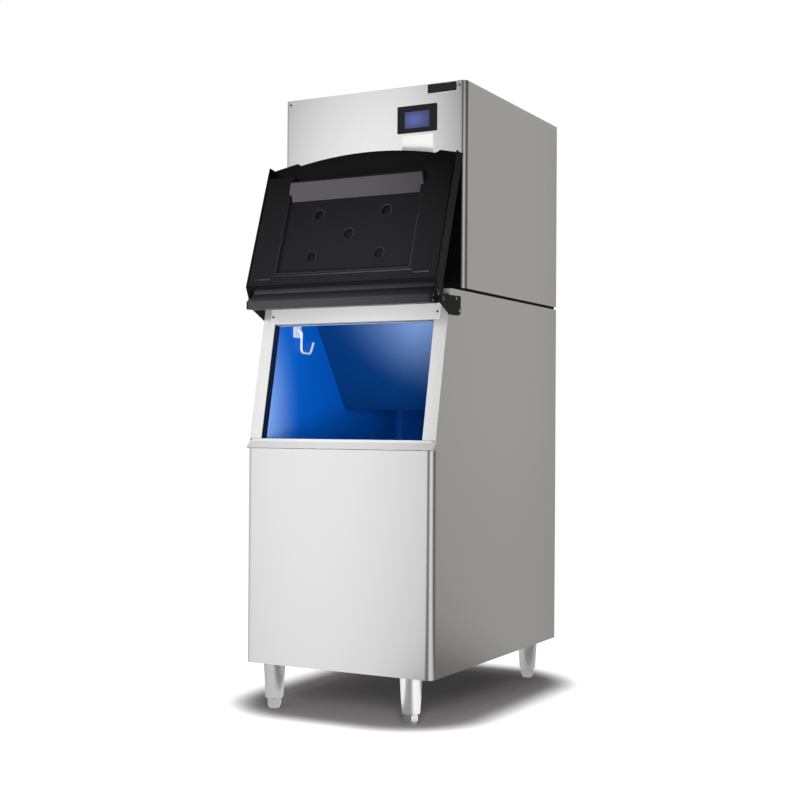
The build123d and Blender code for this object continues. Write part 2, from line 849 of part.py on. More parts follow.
# Display: a black bezel through the front panel with the touch screen set into it
screen_left, screen_right = 100.0, 174.5
screen_low, screen_high = 1552.0, 1597.0
screen_x = (screen_left + screen_right) / 2
screen_z = (screen_low + screen_high) / 2
bezel_proud = 3.0
bezel_depth = 22.0
with BuildPart() as display_bezel:
    with BuildSketch(Plane.XZ.offset(-head_front_y)):
        with Locations((bezel_x, bezel_z)):
            RectangleRounded(bezel_width, bezel_height, 3)
    extrude(amount=bezel_proud)
    with BuildSketch(Plane.XZ.offset(-head_front_y)):
        with Locations((bezel_x, bezel_z)):
            Rectangle(
                bezel_width - 2 * bezel_lip - seat_gap, bezel_height - 2 * bezel_lip - seat_gap
            )
    extrude(amount=-bezel_depth)
    with BuildSketch(Plane.XZ.offset(-head_front_y + bezel_proud)):
        with Locations((screen_x, screen_z)):
            Rectangle(screen_right - screen_left, screen_high - screen_low)
    extrude(amount=-bezel_depth / 2, mode=Mode.SUBTRACT)
    front_face = display_bezel.faces().sort_by(Axis.Y)[0]
    chamfer(front_face.edges(), length=1)
save(display_bezel, "display_bezel")

screen_sunk = 1.5
with BuildPart() as display_screen:
    with BuildSketch(Plane.XZ.offset(-head_front_y + bezel_proud - screen_sunk)):
        with Locations((screen_x, screen_z)):
            Rectangle(
                screen_right - screen_left - seat_gap, screen_high - screen_low - seat_gap
            )
    extrude(amount=-(bezel_depth / 2 - screen_sunk))
save(display_screen, "display_screen")

# Screws of the cabinet: sill ends, top strip ends, brackets and the head front panel
screw_radius = 4.0
screw_height = 2.2
head_screw_x = 262.0
with BuildPart() as cabinet_screws:
    with Locations(Plane.YZ.offset(half_width + bracket_thickness)):
        with Locations(*bracket_screws):
            Cylinder(screw_radius, screw_height, align=(Align.CENTER, Align.CENTER, Align.MIN))
    with Locations(Plane.XZ.offset(-head_front_y)):
        with Locations((head_screw_x, head_top_z - 12), (head_screw_x, head_floor_z + 22)):
            Cylinder(screw_radius - 1, 1.2, align=(Align.CENTER, Align.CENTER, Align.MIN))
    with Locations(slope_face.offset(top_strip_crown)):
        with Locations((top_strip_half - 8, opening_high + 20)):
            Cylinder(screw_radius - 1, 0.8, align=(Align.CENTER, Align.CENTER, Align.MIN))
    with Locations(slope_face):
        with Locations((half_width - 5, opening_low / 2)):
            Cylinder(small_screw_radius - 0.6, 0.8, align=(Align.CENTER, Align.CENTER, Align.MIN))
    mirror(about=Plane.YZ)
save(cabinet_screws, "cabinet_screws")

# Partition between the wet front of the head and the machine room behind it
pan_top_z = head_floor_z + pan_thickness
partition_y = 92.0
partition_thickness = 1.5
line_z = 1600.0
suction_x, liquid_x = 20.0, 60.0
control_x, control_z = 200.0, 1555.0
control_width, control_height, control_depth = 140.0, 170.0, 72.0
inlet_tube_x = -186.0
tube_radius = 5.0
with BuildPart() as head_partition:
    with BuildSketch(Plane.XZ.offset(-partition_y)):
        with Locations((0, (pan_top_z + head_side_top) / 2)):
            Rectangle(body_width - 2 * sheet, head_side_top - pan_top_z)
        with Locations((inlet_tube_x, inlet_z)):
            Circle(tube_radius + seat_gap, mode=Mode.SUBTRACT)
        with Locations((suction_x, line_z), (liquid_x, line_z)):
            Circle(tube_radius + seat_gap, mode=Mode.SUBTRACT)
    extrude(amount=-partition_thickness)
    # control box, riveted on behind: its walls, a transformer and a row of relays
    partition_rear = partition_y + partition_thickness
    with BuildSketch(Plane.XZ.offset(-partition_rear)):
        with Locations((control_x, control_z)):
            Rectangle(control_width, control_height)
            Rectangle(control_width - 2 * sheet, control_height - 2 * sheet, mode=Mode.SUBTRACT)
    extrude(amount=-control_depth)
    with BuildSketch(Plane.XZ.offset(-partition_rear)):
        with Locations((control_x - 35, control_z - 45)):
            Rectangle(48, 56)
    extrude(amount=-45)
    with BuildSketch(Plane.XZ.offset(-partition_rear)):
        with Locations((control_x, control_z + 40)):
            with GridLocations(32, 1, 4, 1):
                Rectangle(22, 30)
    extrude(amount=-28)
save(head_partition, "head_partition")

# Evaporator: cell grid, back plate, coil behind it and the two side plates that carry it
evaporator_left, evaporator_right = -205.0, 175.0
evaporator_low, evaporator_high = 1235.0, 1535.0
cell_pitch = 31.0
cell_wall = 1.2
cell_depth = 20.0
coil_radius = 5.0
coil_rows = 8
side_plate = 2.0
curtain_y = -38.0
curtain_z = 1548.0
curtain_pin_radius = 3.0
evaporator_x = (evaporator_left + evaporator_right) / 2
evaporator_z = (evaporator_low + evaporator_high) / 2
evaporator_width = evaporator_right - evaporator_left
evaporator_height = evaporator_high - evaporator_low
cell_columns = int(evaporator_width // cell_pitch)
cell_rows = int(evaporator_height // cell_pitch)
with BuildPart() as evaporator:
    with BuildSketch(Plane.XZ):
        with Locations((evaporator_x, evaporator_z)):
            Rectangle(evaporator_width, evaporator_height)
            with GridLocations(cell_pitch, cell_pitch, cell_columns, cell_rows):
                Rectangle(cell_pitch - cell_wall, cell_pitch - cell_wall, mode=Mode.SUBTRACT)
    extrude(amount=-cell_depth)
    with BuildSketch(Plane.XZ.offset(-cell_depth)):
        with Locations((evaporator_x, evaporator_z)):
            Rectangle(evaporator_width, evaporator_height)
    extrude(amount=-2)
    coil_pitch = evaporator_height / coil_rows
    with BuildSketch(Plane.YZ.offset(evaporator_left + 10)):
        for row in range(coil_rows):
            with Locations(
                (cell_depth + coil_radius + 1.5, evaporator_low + (row + 0.5) * coil_pitch)
            ):
                Circle(coil_radius)
    extrude(amount=evaporator_width - 20)
    for plate_x in (evaporator_left - side_plate, evaporator_right):
        with BuildSketch(Plane.YZ.offset(plate_x)):
            with BuildLine():
                Polyline(
                    (0, evaporator_low),
                    (partition_y, evaporator_low),
                    (partition_y, evaporator_high + 25),
                    (curtain_y - 8, evaporator_high + 25),
                    (curtain_y - 8, evaporator_high + 5),
                    (0, evaporator_high + 5),
                    close=True,
                )
            make_face()
            with Locations((curtain_y, curtain_z)):
                Circle(curtain_pin_radius + running_gap, mode=Mode.SUBTRACT)
        extrude(amount=side_plate)
save(evaporator, "evaporator")

# Water curtain: a ribbed plastic flap that hangs on two pins and swings out when the slab drops
curtain_clear = 1.0
curtain_low = 1212.0
curtain_wall = 2.0
curtain_half = evaporator_width / 2 - curtain_clear
with BuildPart() as water_curtain:
    with BuildSketch(Plane.XZ.offset(-curtain_y - curtain_wall / 2)):
        with Locations((evaporator_x, (curtain_low + curtain_z) / 2)):
            Rectangle(2 * curtain_half, curtain_z - curtain_low)
    extrude(amount=curtain_wall)
    with BuildSketch(Plane.XZ.offset(-curtain_y)):
        with Locations((evaporator_x, (curtain_low + curtain_z) / 2)):
            with GridLocations(90, 1, 4, 1):
                Rectangle(3, curtain_z - curtain_low - 10)
    extrude(amount=4)
    with BuildSketch(Plane.YZ.offset(evaporator_x - curtain_half)):
        with Locations((curtain_y, curtain_z)):
            Circle(curtain_pin_radius + 1.5)
    extrude(amount=2 * curtain_half)
    with BuildSketch(Plane.YZ.offset(evaporator_x - curtain_half - curtain_clear - side_plate)):
        with Locations((curtain_y, curtain_z)):
            Circle(curtain_pin_radius)
    extrude(amount=2 * (curtain_half + curtain_clear + side_plate))
save(water_curtain, "water_curtain")

# Water trough with its sump, standing on the floor pan behind the drop hole
trough_left, trough_right = -215.0, 268.0
trough_front, trough_rear = -12.0, 88.0
trough_height = 70.0
trough_wall = 3.0
with BuildPart() as water_trough:
    with BuildSketch(Plane.XY.offset(pan_top_z)):
        with Locations(((trough_left + trough_right) / 2, (trough_front + trough_rear) / 2)):
            RectangleRounded(trough_right - trough_left, trough_rear - trough_front, 10)
    extrude(amount=trough_height)
    offset(amount=-trough_wall, openings=water_trough.faces().sort_by(Axis.Z)[-1])
save(water_trough, "water_trough")

# Circulating pump: motor above the sump, column, volute with its port, and the rotor inside
pump_x, pump_y = 224.0, 52.0
volute_low_z = pan_top_z + trough_wall
volute_radius = 28.0
volute_height = 20.0
column_radius = 14.0
motor_low_z = 1240.0
motor_radius = 30.0
port_y = 8.0
port_radius = 6.0
port_top_z = volute_low_z + volute_height + 14
with BuildPart() as pump_body:
    with BuildSketch(Plane.XY.offset(volute_low_z)):
        with Locations((pump_x, pump_y)):
            Circle(volute_radius)
        with Locations((pump_x, (pump_y + port_y) / 2 - 6)):
            RectangleRounded(20, pump_y - port_y + 8, 4)
    extrude(amount=volute_height)
    with BuildSketch(Plane.XY.offset(volute_low_z)):
        with Locations((pump_x, pump_y)):
            Circle(column_radius)
    extrude(amount=motor_low_z - volute_low_z)
    with BuildSketch(Plane.XY.offset(motor_low_z)):
        with Locations((pump_x, pump_y)):
            Circle(motor_radius)
    extrude(amount=68)
    chamfer(pump_body.edges().group_by(Axis.Z)[-1], length=5)
    with BuildSketch(Plane.XY.offset(motor_low_z)):
        with Locations((pump_x, (18 + partition_y) / 2)):
            Rectangle(84, partition_y - 18)
    extrude(amount=-3)
    with BuildSketch(Plane.XY.offset(volute_low_z + volute_height)):
        with Locations((pump_x, port_y)):
            Circle(port_radius)
    extrude(amount=port_top_z - volute_low_z - volute_height)
    # cavity and shaft bore for the rotor, open at the inlet eye below
    with BuildSketch(Plane.XY.offset(volute_low_z + 4)):
        with Locations((pump_x, pump_y)):
            Circle(volute_radius - 4)
    extrude(amount=volute_height - 8, mode=Mode.SUBTRACT)
    with BuildSketch(Plane.XY.offset(volute_low_z)):
        with Locations((pump_x, pump_y)):
            Circle(8)
    extrude(amount=5, mode=Mode.SUBTRACT)
    with BuildSketch(Plane.XY.offset(volute_low_z + 5)):
        with Locations((pump_x, pump_y)):
            Circle(3 + running_gap)
    extrude(amount=motor_low_z + 40 - volute_low_z, mode=Mode.SUBTRACT)
save(pump_body, "pump_body")

with BuildPart() as pump_rotor:
    with BuildSketch(Plane.XY.offset(volute_low_z + 6)):
        with Locations((pump_x, pump_y)):
            Circle(volute_radius - 7)
    extrude(amount=2)
    with BuildSketch(Plane.XY.offset(volute_low_z + 6)):
        with Locations((pump_x, pump_y)):
            with PolarLocations(13, 6):
                Rectangle(14, 2)
    extrude(amount=7)
    with BuildSketch(Plane.XY.offset(volute_low_z + 6)):
        with Locations((pump_x, pump_y)):
            Circle(3)
    extrude(amount=motor_low_z + 30 - volute_low_z)
save(pump_rotor, "pump_rotor")

# Distributor tube over the evaporator and the hose that feeds it
distributor_z = 1578.0
distributor_radius = 11.0
hose_radius = 8.5
hose_turn = 32.0
with BuildPart() as water_distributor:
    with BuildSketch(Plane.YZ.offset(evaporator_left)):
        with Locations((port_y, distributor_z)):
            Circle(distributor_radius)
    extrude(amount=evaporator_width)
    with BuildSketch(Plane.YZ.offset(evaporator_right)):
        with Locations((port_y, distributor_z)):
            Circle(port_radius)
    extrude(amount=14)
    with BuildSketch(Plane.XY.offset(distributor_z)):
        with Locations((evaporator_x, port_y)):
            with GridLocations(cell_pitch, 1, cell_columns, 1):
                Circle(1.5)
    extrude(amount=-distributor_radius, mode=Mode.SUBTRACT)
    for plate_x in (evaporator_left + 12, evaporator_right - 14):
        with BuildSketch(Plane.YZ.offset(plate_x)):
            with BuildLine():
                Polyline(
                    (port_y, evaporator_high),
                    (cell_depth, evaporator_high),
                    (cell_depth, distributor_z),
                    (port_y, distributor_z),
                    close=True,
                )
            make_face()
        extrude(amount=side_plate)
save(water_distributor, "water_distributor")

with BuildPart() as pump_hose:
    with BuildLine() as hose_line:
        FilletPolyline(
            (pump_x, port_y, port_top_z - 10),
            (pump_x, port_y, distributor_z),
            (evaporator_right + 2, port_y, distributor_z),
            radius=hose_turn,
        )
    with BuildSketch(Plane(origin=hose_line.line @ 0, z_dir=hose_line.line % 0)):
        Circle(hose_radius)
        Circle(port_radius + running_gap, mode=Mode.SUBTRACT)
    sweep(path=hose_line.line)
save(pump_hose, "pump_hose")

# Water level float on its stem
float_x, float_y = -140.0, 45.0
float_stop_z = pan_top_z + trough_wall + 14
float_radius = 14.0
float_height = 20.0
with BuildPart() as float_stem:
    with BuildSketch(Plane.XY.offset(float_stop_z)):
        with Locations((float_x, float_y)):
            Circle(3)
    extrude(amount=evaporator_low - 12 - float_stop_z)
    with BuildSketch(Plane.XY.offset(float_stop_z)):
        with Locations((float_x, float_y)):
            Circle(7)
    extrude(amount=-3)
    with BuildSketch(Plane.XY.offset(evaporator_low - 12)):
        with Locations((float_x, (float_y - 10 + partition_y) / 2)):
            Rectangle(22, partition_y - float_y + 10)
    extrude(amount=2)
save(float_stem, "float_stem")

with BuildPart() as level_float:
    with BuildSketch(Plane.XY.offset(float_stop_z + seat_gap)):
        with Locations((float_x, float_y)):
            Circle(float_radius)
    extrude(amount=float_height)
    chamfer(level_float.edges(), length=2.5)
    with BuildSketch(Plane.XY.offset(float_stop_z)):
        with Locations((float_x, float_y)):
            Circle(3 + 2 * running_gap)
    extrude(amount=float_height + 2, mode=Mode.SUBTRACT)
save(level_float, "level_float")

# Water inlet valve with its stub through the rear panel, and the fill tube
stub_length = 11.5
neck_step = 0.6
with BuildPart() as inlet_valve:
    with BuildSketch(Plane.XZ.offset(-(rear_y + stub_length))):
        with Locations((inlet_x, inlet_z)):
            Circle(inlet_radius)
    extrude(amount=stub_length)
    with BuildSketch(Plane.XZ.offset(-rear_y)):
        with Locations((inlet_x, inlet_z)):
            Circle(inlet_radius - neck_step)
    extrude(amount=2 * sheet + 5)
    with BuildSketch(Plane.XZ.offset(-(rear_y - 2 * sheet))):
        with Locations((inlet_x, inlet_z)):
            RectangleRounded(44, 34, 4)
    extrude(amount=40)
    with BuildSketch(Plane.XY.offset(inlet_z + 10)):
        with Locations((inlet_x, rear_y - 24)):
            Circle(15)
    extrude(amount=44)
    with BuildSketch(Plane.XZ.offset(-(rear_y + stub_length))):
        with Locations((inlet_x, inlet_z)):
            Circle(inlet_radius - 4)
    extrude(amount=stub_length + 10, mode=Mode.SUBTRACT)
save(inlet_valve, "inlet_valve")

valve_front_y = rear_y - 2 * sheet - 40
with BuildPart() as fill_tube:
    with BuildLine() as fill_line:
        FilletPolyline(
            (inlet_tube_x, valve_front_y, inlet_z),
            (inlet_tube_x, 70, inlet_z),
            (inlet_tube_x, 70, evaporator_low - 40),
            radius=16,
        )
    with BuildSketch(Plane(origin=fill_line.line @ 0, z_dir=fill_line.line % 0)):
        Circle(tube_radius)
        Circle(tube_radius - 1.2, mode=Mode.SUBTRACT)
    sweep(path=fill_line.line)
save(fill_tube, "fill_tube")

# Compressor on a foot plate and four grommets
compressor_x, compressor_y = -140.0, 250.0
compressor_radius = 92.0
grommet_height = 15.0
compressor_low_z = pan_top_z + grommet_height
compressor_height = 235.0
grommet_span_x, grommet_span_y = 170.0, 150.0
shell_low = compressor_low_z + 3
shell_top = shell_low + compressor_height
dome_radius = compressor_radius - 3
suction_stub = 12.0
with BuildPart() as compressor:
    with BuildSketch(Plane.XY.offset(compressor_low_z)):
        with Locations((compressor_x, compressor_y)):
            RectangleRounded(205, 185, 20)
            with GridLocations(grommet_span_x, grommet_span_y, 2, 2):
                Circle(5, mode=Mode.SUBTRACT)
    extrude(amount=3)
    with BuildSketch(Plane.XZ.offset(-compressor_y)):
        with BuildLine():
            Polyline(
                (compressor_x, shell_low),
                (compressor_x + dome_radius - 14, shell_low),
                (compressor_x + dome_radius, shell_low + 22),
                (compressor_x + dome_radius, shell_top - 52),
                (compressor_x + dome_radius - 12, shell_top - 24),
                (compressor_x + dome_radius - 34, shell_top - 6),
                (compressor_x + dome_radius - 56, shell_top),
                (compressor_x, shell_top),
                close=True,
            )
        make_face()
    revolve(axis=Axis((compressor_x, compressor_y, 0), (0, 0, 1)))
    with BuildSketch(Plane.XY.offset(shell_low + compressor_height / 2 - 5)):
        with Locations((compressor_x, compressor_y)):
            Circle(compressor_radius)
    extrude(amount=10)
    with BuildSketch(Plane.XY.offset(shell_top)):
        with Locations((compressor_x, compressor_y)):
            Circle(10)
    extrude(amount=suction_stub)
save(compressor, "compressor")

with BuildPart() as compressor_grommets:
    with BuildSketch(Plane.XY.offset(pan_top_z)):
        with Locations((compressor_x, compressor_y)):
            with GridLocations(grommet_span_x, grommet_span_y, 2, 2):
                Circle(12)
    extrude(amount=grommet_height)
save(compressor_grommets, "compressor_grommets")

# Condenser: fin pack between end plates with hairpin bends, shroud, motor and fan
coil_left, coil_right = -10.0, 262.0
coil_front, coil_rear = 345.0, 402.0
coil_low, coil_high = pan_top_z, pan_top_z + 300.0
fin_pitch = 8.5
fin_thickness = 0.8
bend_radius = 5.0
coil_x = (coil_left + coil_right) / 2
coil_z = (coil_low + coil_high) / 2
fin_count = int((coil_right - coil_left) // fin_pitch)
with BuildPart() as condenser:
    with BuildSketch(Plane.XY.offset(coil_low)):
        with Locations((coil_x, (coil_front + coil_rear) / 2)):
            Rectangle(coil_right - coil_left, coil_rear - coil_front)
    extrude(amount=2)
    with BuildSketch(Plane.XY.offset(coil_high)):
        with Locations((coil_x, (coil_front + coil_rear) / 2)):
            Rectangle(coil_right - coil_left, coil_rear - coil_front)
    extrude(amount=-2)
    with BuildSketch(Plane.XY.offset(coil_low)):
        with Locations((coil_x, (coil_front + coil_rear) / 2)):
            with GridLocations(fin_pitch, 1, fin_count, 1):
                Rectangle(fin_thickness, coil_rear - coil_front)
    extrude(amount=coil_high - coil_low)
    for end_x in (coil_left, coil_right):
        inward = 1 if end_x == coil_left else -1
        with BuildSketch(Plane.YZ.offset(end_x)):
            with Locations(((coil_front + coil_rear) / 2, coil_z)):
                Rectangle(coil_rear - coil_front, coil_high - coil_low)
        extrude(amount=inward * 2)
save(condenser, "condenser")

fan_radius = 112.0
shroud_y = coil_front - 8
with BuildPart() as fan_shroud:
    with BuildSketch(Plane.XZ.offset(-coil_front)):
        with Locations((coil_x, coil_z)):
            Rectangle(coil_right - coil_left, coil_high - coil_low)
            Circle(fan_radius + 6, mode=Mode.SUBTRACT)
    extrude(amount=1.5)
    with BuildSketch(Plane.XZ.offset(-coil_front)):
        with Locations((coil_x, coil_z)):
            Circle(fan_radius + 7.5)
            Circle(fan_radius + 6, mode=Mode.SUBTRACT)
    extrude(amount=40)
save(fan_shroud, "fan_shroud")

motor_rear_y = 296.0
motor_length = 70.0
fan_motor_radius = 38.0
fan_shaft_radius = 4.0
with BuildPart() as fan_motor:
    with BuildSketch(Plane.XZ.offset(-motor_rear_y)):
        with Locations((coil_x, coil_z)):
            Circle(fan_motor_radius)
    extrude(amount=motor_length)
    chamfer(fan_motor.edges(), length=4)
    for turn in (30, 150, 270):
        arm_x = math.cos(math.radians(turn))
        arm_z = math.sin(math.radians(turn))
        with BuildSketch(
            Plane(
                origin=(coil_x, motor_rear_y - 10, coil_z), x_dir=(0, 1, 0), z_dir=(arm_x, 0, arm_z)
            )
        ):
            Rectangle(4, 14)
        extrude(amount=fan_radius + 7.5 + 2)
        reach = fan_radius + 7.5 + 1
        with BuildSketch(
            Plane(
                origin=(coil_x + reach * arm_x, motor_rear_y - 12, coil_z + reach * arm_z),
                x_dir=(arm_x, 0, arm_z),
                z_dir=(0, 1, 0),
            )
        ):
            Rectangle(2, 14)
        extrude(amount=30)
    with BuildSketch(Plane.XZ.offset(-motor_rear_y)):
        with Locations((coil_x, coil_z)):
            Circle(fan_shaft_radius)
    extrude(amount=-32)
save(fan_motor, "fan_motor")

hub_front_y = motor_rear_y + 3
blade_count = 5
blade_pitch = 28.0
blade_thickness = 2.0
with BuildPart() as fan_blade:
    with BuildSketch(Plane.XZ.offset(-hub_front_y)):
        with Locations((coil_x, coil_z)):
            Circle(30)
    extrude(amount=-30)
    fillet(fan_blade.edges().group_by(Axis.Y)[-1], radius=5)
    for blade in range(blade_count):
        turn = math.radians(blade * 360 / blade_count)
        lean = math.radians(blade_pitch)
        radial = Vector(math.cos(turn), 0, math.sin(turn))
        across = Vector(-math.sin(turn), 0, math.cos(turn))
        chord_line = across * math.cos(lean) + Vector(0, 1, 0) * math.sin(lean)
        root = Vector(coil_x, hub_front_y + 15, coil_z) + radial * 24
        with BuildSketch(Plane(origin=root, x_dir=chord_line, z_dir=radial)):
            Rectangle(52, blade_thickness)
        extrude(amount=fan_radius - 27)
    with BuildSketch(Plane.XZ.offset(-hub_front_y)):
        with Locations((coil_x, coil_z)):
            Circle(fan_shaft_radius + running_gap)
    extrude(amount=-30, mode=Mode.SUBTRACT)
save(fan_blade, "fan_blade")

# Refrigerant lines: suction, discharge, and the liquid line with its filter drier
line_turn = 16.0
behind_coil_y = cell_depth + 2 * coil_radius + 1.5 + tube_radius + seat_gap
first_row_z = evaporator_low + coil_pitch / 2
last_row_z = evaporator_high - coil_pitch / 2
condenser_y = (coil_front + coil_rear) / 2
condenser_top_z = coil_high + seat_gap
discharge_x = compressor_x + 24
discharge_z = coil_high + 22
condenser_in_x, condenser_out_x = 40.0, 200.0
drier_z = 1510.0
drier_radius = 12.0
drier_length = 80.0
line_routes = [
    [
        (suction_x, behind_coil_y, last_row_z),
        (suction_x, behind_coil_y, line_z),
        (suction_x, compressor_y, line_z),
        (compressor_x, compressor_y, line_z),
        (compressor_x, compressor_y, shell_top + suction_stub),
    ],
    [
        (discharge_x, compressor_y, shell_top),
        (discharge_x, compressor_y, discharge_z),
        (discharge_x, condenser_y, discharge_z),
        (condenser_in_x, condenser_y, discharge_z),
        (condenser_in_x, condenser_y, condenser_top_z - seat_gap),
    ],
    [
        (condenser_out_x, condenser_y, condenser_top_z - seat_gap),
        (condenser_out_x, condenser_y, line_z),
        (liquid_x, condenser_y, line_z),
        (liquid_x, behind_coil_y, line_z),
        (liquid_x, behind_coil_y, first_row_z),
    ],
]
with BuildPart() as refrigerant_lines:
    for route in line_routes:
        with BuildLine() as line_run:
            FilletPolyline(*route, radius=line_turn)
        with BuildSketch(Plane(origin=line_run.line @ 0, z_dir=line_run.line % 0)):
            Circle(tube_radius)
        sweep(path=line_run.line)
    with Locations((condenser_out_x, condenser_y, drier_z)):
        Cylinder(drier_radius, drier_length)
save(refrigerant_lines, "refrigerant_lines")
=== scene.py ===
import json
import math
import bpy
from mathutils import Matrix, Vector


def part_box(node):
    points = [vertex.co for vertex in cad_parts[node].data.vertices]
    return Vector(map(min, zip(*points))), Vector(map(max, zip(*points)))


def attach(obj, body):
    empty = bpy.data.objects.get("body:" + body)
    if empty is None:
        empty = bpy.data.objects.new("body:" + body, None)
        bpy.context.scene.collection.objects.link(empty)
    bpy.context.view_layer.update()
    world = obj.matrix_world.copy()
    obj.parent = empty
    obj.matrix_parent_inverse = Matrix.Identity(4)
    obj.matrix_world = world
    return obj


bl_info = {
    "name": "Modular ice maker looks",
    "version": (1, 0, 0),
    "blender": (4, 5, 0),
    "location": "View3D > Sidebar > Ice maker",
    "description": "Finishes, plates, stage and camera for an ice-maker head on its storage bin",
    "category": "Object",
}

import bmesh
import bpy
from bpy.props import FloatProperty, FloatVectorProperty, PointerProperty
from mathutils import Matrix, Vector

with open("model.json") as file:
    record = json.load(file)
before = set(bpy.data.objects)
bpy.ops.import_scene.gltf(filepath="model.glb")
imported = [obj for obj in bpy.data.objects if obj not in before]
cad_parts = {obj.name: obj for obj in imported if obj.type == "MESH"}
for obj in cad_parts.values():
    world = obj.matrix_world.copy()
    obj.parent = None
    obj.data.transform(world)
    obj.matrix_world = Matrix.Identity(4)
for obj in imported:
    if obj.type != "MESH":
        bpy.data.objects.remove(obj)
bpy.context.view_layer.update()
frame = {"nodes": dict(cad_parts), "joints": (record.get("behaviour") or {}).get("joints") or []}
NODES = frame["nodes"]
HINGE = Vector(next(j["pos_m"] for j in frame["joints"] if j["name"] == "door_hinge"))
DOOR_LEAN = math.radians(18.25)
DOOR_OUT = Vector((0.0, -math.cos(DOOR_LEAN), math.sin(DOOR_LEAN)))
GLAND_X = 0.200
GLAND_Z = 1.585
HEAD_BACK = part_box("head_rear_panel")[0].y + 0.001
# The gland from its cable bore outwards and back to the panel: radius, distance towards the back
GLAND_PROFILE = (
    (0.0030, -0.002),
    (0.0030, 0.0105),
    (0.0050, 0.0110),
    (0.0080, 0.0100),
    (0.0085, 0.0060),
    (0.0125, 0.0060),
    (0.0125, 0.0001),
    (0.0088, 0.0001),
    (0.0088, -0.002),
)
# Dark films of painted shade in the gaps under the sill and along the top strip's lower edge: half width,
# then low and high as (y, z)
SILL_GAP_SHADE = (0.2790, (-0.4153, 0.6936), (-0.4153, 0.6950))
MOUTH_GAP_SHADE = (0.2420, (-0.3384, 1.0256), (-0.3378, 1.0272))
# Where on a dimple's rim the bead is thickest, from +X round to the door's top
BEAD_LIGHT_SIDE = math.radians(55.0)
DIMPLE_RADIUS = 0.0155
DIMPLES = ((-0.1025, 0.2425), (0.1025, 0.2425), (0.0, 0.181), (-0.1025, 0.120), (0.1025, 0.120))
DIMPLE_STEPS = 32
DIMPLE_UNEVEN = 0.85
DIMPLE_BEAD_RADIUS = 0.0022
FIELD_BEAD_RADIUS = 0.0016
LEDGE_BEAD_RADIUS = 0.0020
SUNK_DEPTH = 0.039
BORDER_DEPTH = 0.046
# Corners of the bead along three sides of the door's sunk field: across, rise
FIELD_OUTLINE = (
    (-0.203, 0.250),
    (-0.203, 0.073),
    (-0.195, 0.070),
    (0.195, 0.070),
    (0.203, 0.073),
    (0.203, 0.280),
)
# The ledge under the field and beside it: left end, right end, rise
LEDGE_RUNS = ((-0.212, 0.212, 0.0640), (-0.262, -0.214, 0.0560), (0.214, 0.262, 0.0560))
# Film laid on the finger wedge, lighter than the door as painted light on its slope: across, rise, depth
GRIP_OUTLINE = (
    (-0.1945, 0.2860, 0.0401),
    (0.1945, 0.2860, 0.0401),
    (0.1975, 0.3050, 0.0468),
    (0.2055, 0.3050, 0.0468),
    (0.2005, 0.3355, 0.0576),
    (-0.2005, 0.3355, 0.0576),
    (-0.2055, 0.3050, 0.0468),
    (-0.1975, 0.3050, 0.0468),
)
HEAD_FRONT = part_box("head_front_panel")
PLATE_CORNER_STEPS = 6
PLATE_BEVEL_SHARE = 0.35
SAME_PLACE = 1e-6
BADGE_CORNER = 0.003
BADGE_RIM_SHARE = 0.7
LABEL_CORNER = 0.002


def colour_property(label, words, value):
    return FloatVectorProperty(
        name=label,
        description=words,
        subtype="COLOR",
        size=3,
        min=0.0,
        max=1.0,
        default=value,
    )


def length_property(label, words, value):
    return FloatProperty(
        name=label,
        description=words,
        subtype="DISTANCE",
        unit="LENGTH",
        default=value,
    )


class IceMakerColours(bpy.types.PropertyGroup):
    # The fronts are set lighter than the same steel of the sides: painted light, on top of the brighter room
    # they reflect
    front_steel_painted_lighter: colour_property("Front steel", "Steel of both fronts, set lighter as painted light", (0.865, 0.865, 0.875))
    side_steel: colour_property("Side steel", "Brushed steel of the side panels", (0.715, 0.695, 0.660))
    frame_strip: colour_property("Mouth frame", "Strips and sill round the mouth", (0.76, 0.76, 0.755))
    zinc: colour_property("Zinc sheet", "Rear, deck and inner sheets", (0.50, 0.52, 0.54))
    liner: colour_property("Liner", "Blue moulded liner", (0.002, 0.165, 0.74))
    # Set much darker than the liner's blue: painted shade on the deflector's front-lower face
    deflector_painted_darker: colour_property("Ice deflector", "Blue of the slanting ice deflector", (0.003, 0.055, 0.22))
    door: colour_property("Door", "Black plastic of the door", (0.014, 0.014, 0.0155))
    rail: colour_property("Handle rail", "Dark anodised rail", (0.065, 0.065, 0.070))
    white_plastic: colour_property(
        "White plastic", "Drain fitting, trough, distributor and float", (0.80, 0.82, 0.84)
    )
    badge: colour_property("Badge", "Bare black badge plate", (0.010, 0.010, 0.011))
    label: colour_property("Label", "Bare white label", (0.82, 0.82, 0.80))
    screen: colour_property("Screen", "Lit display glass", (0.014, 0.020, 0.10))
    floor: colour_property("Floor", "Pale studio floor", (0.93, 0.93, 0.93))


class IceMakerPlates(bpy.types.PropertyGroup):
    badge_left: length_property("Badge left", "Badge's left edge", 0.168)
    badge_right: length_property("Badge right", "Badge's right edge", 0.255)
    badge_low: length_property("Badge low", "Badge's lower edge", 1.6395)
    badge_high: length_property("Badge high", "Badge's upper edge", 1.6645)
    badge_border: length_property("Badge border", "Width of the silver border of the badge", 0.0012)
    badge_proud: length_property("Badge depth", "How far the badge stands proud", 0.0020)
    label_left: length_property("Label left", "Label's left edge", 0.092)
    label_right: length_property("Label right", "Label's right edge", 0.185)
    label_low: length_property("Label low", "Label's lower edge", 1.478)
    label_high: length_property("Label high", "Label's upper edge", 1.533)
    label_proud: length_property("Label depth", "Thickness of the label", 0.0003)


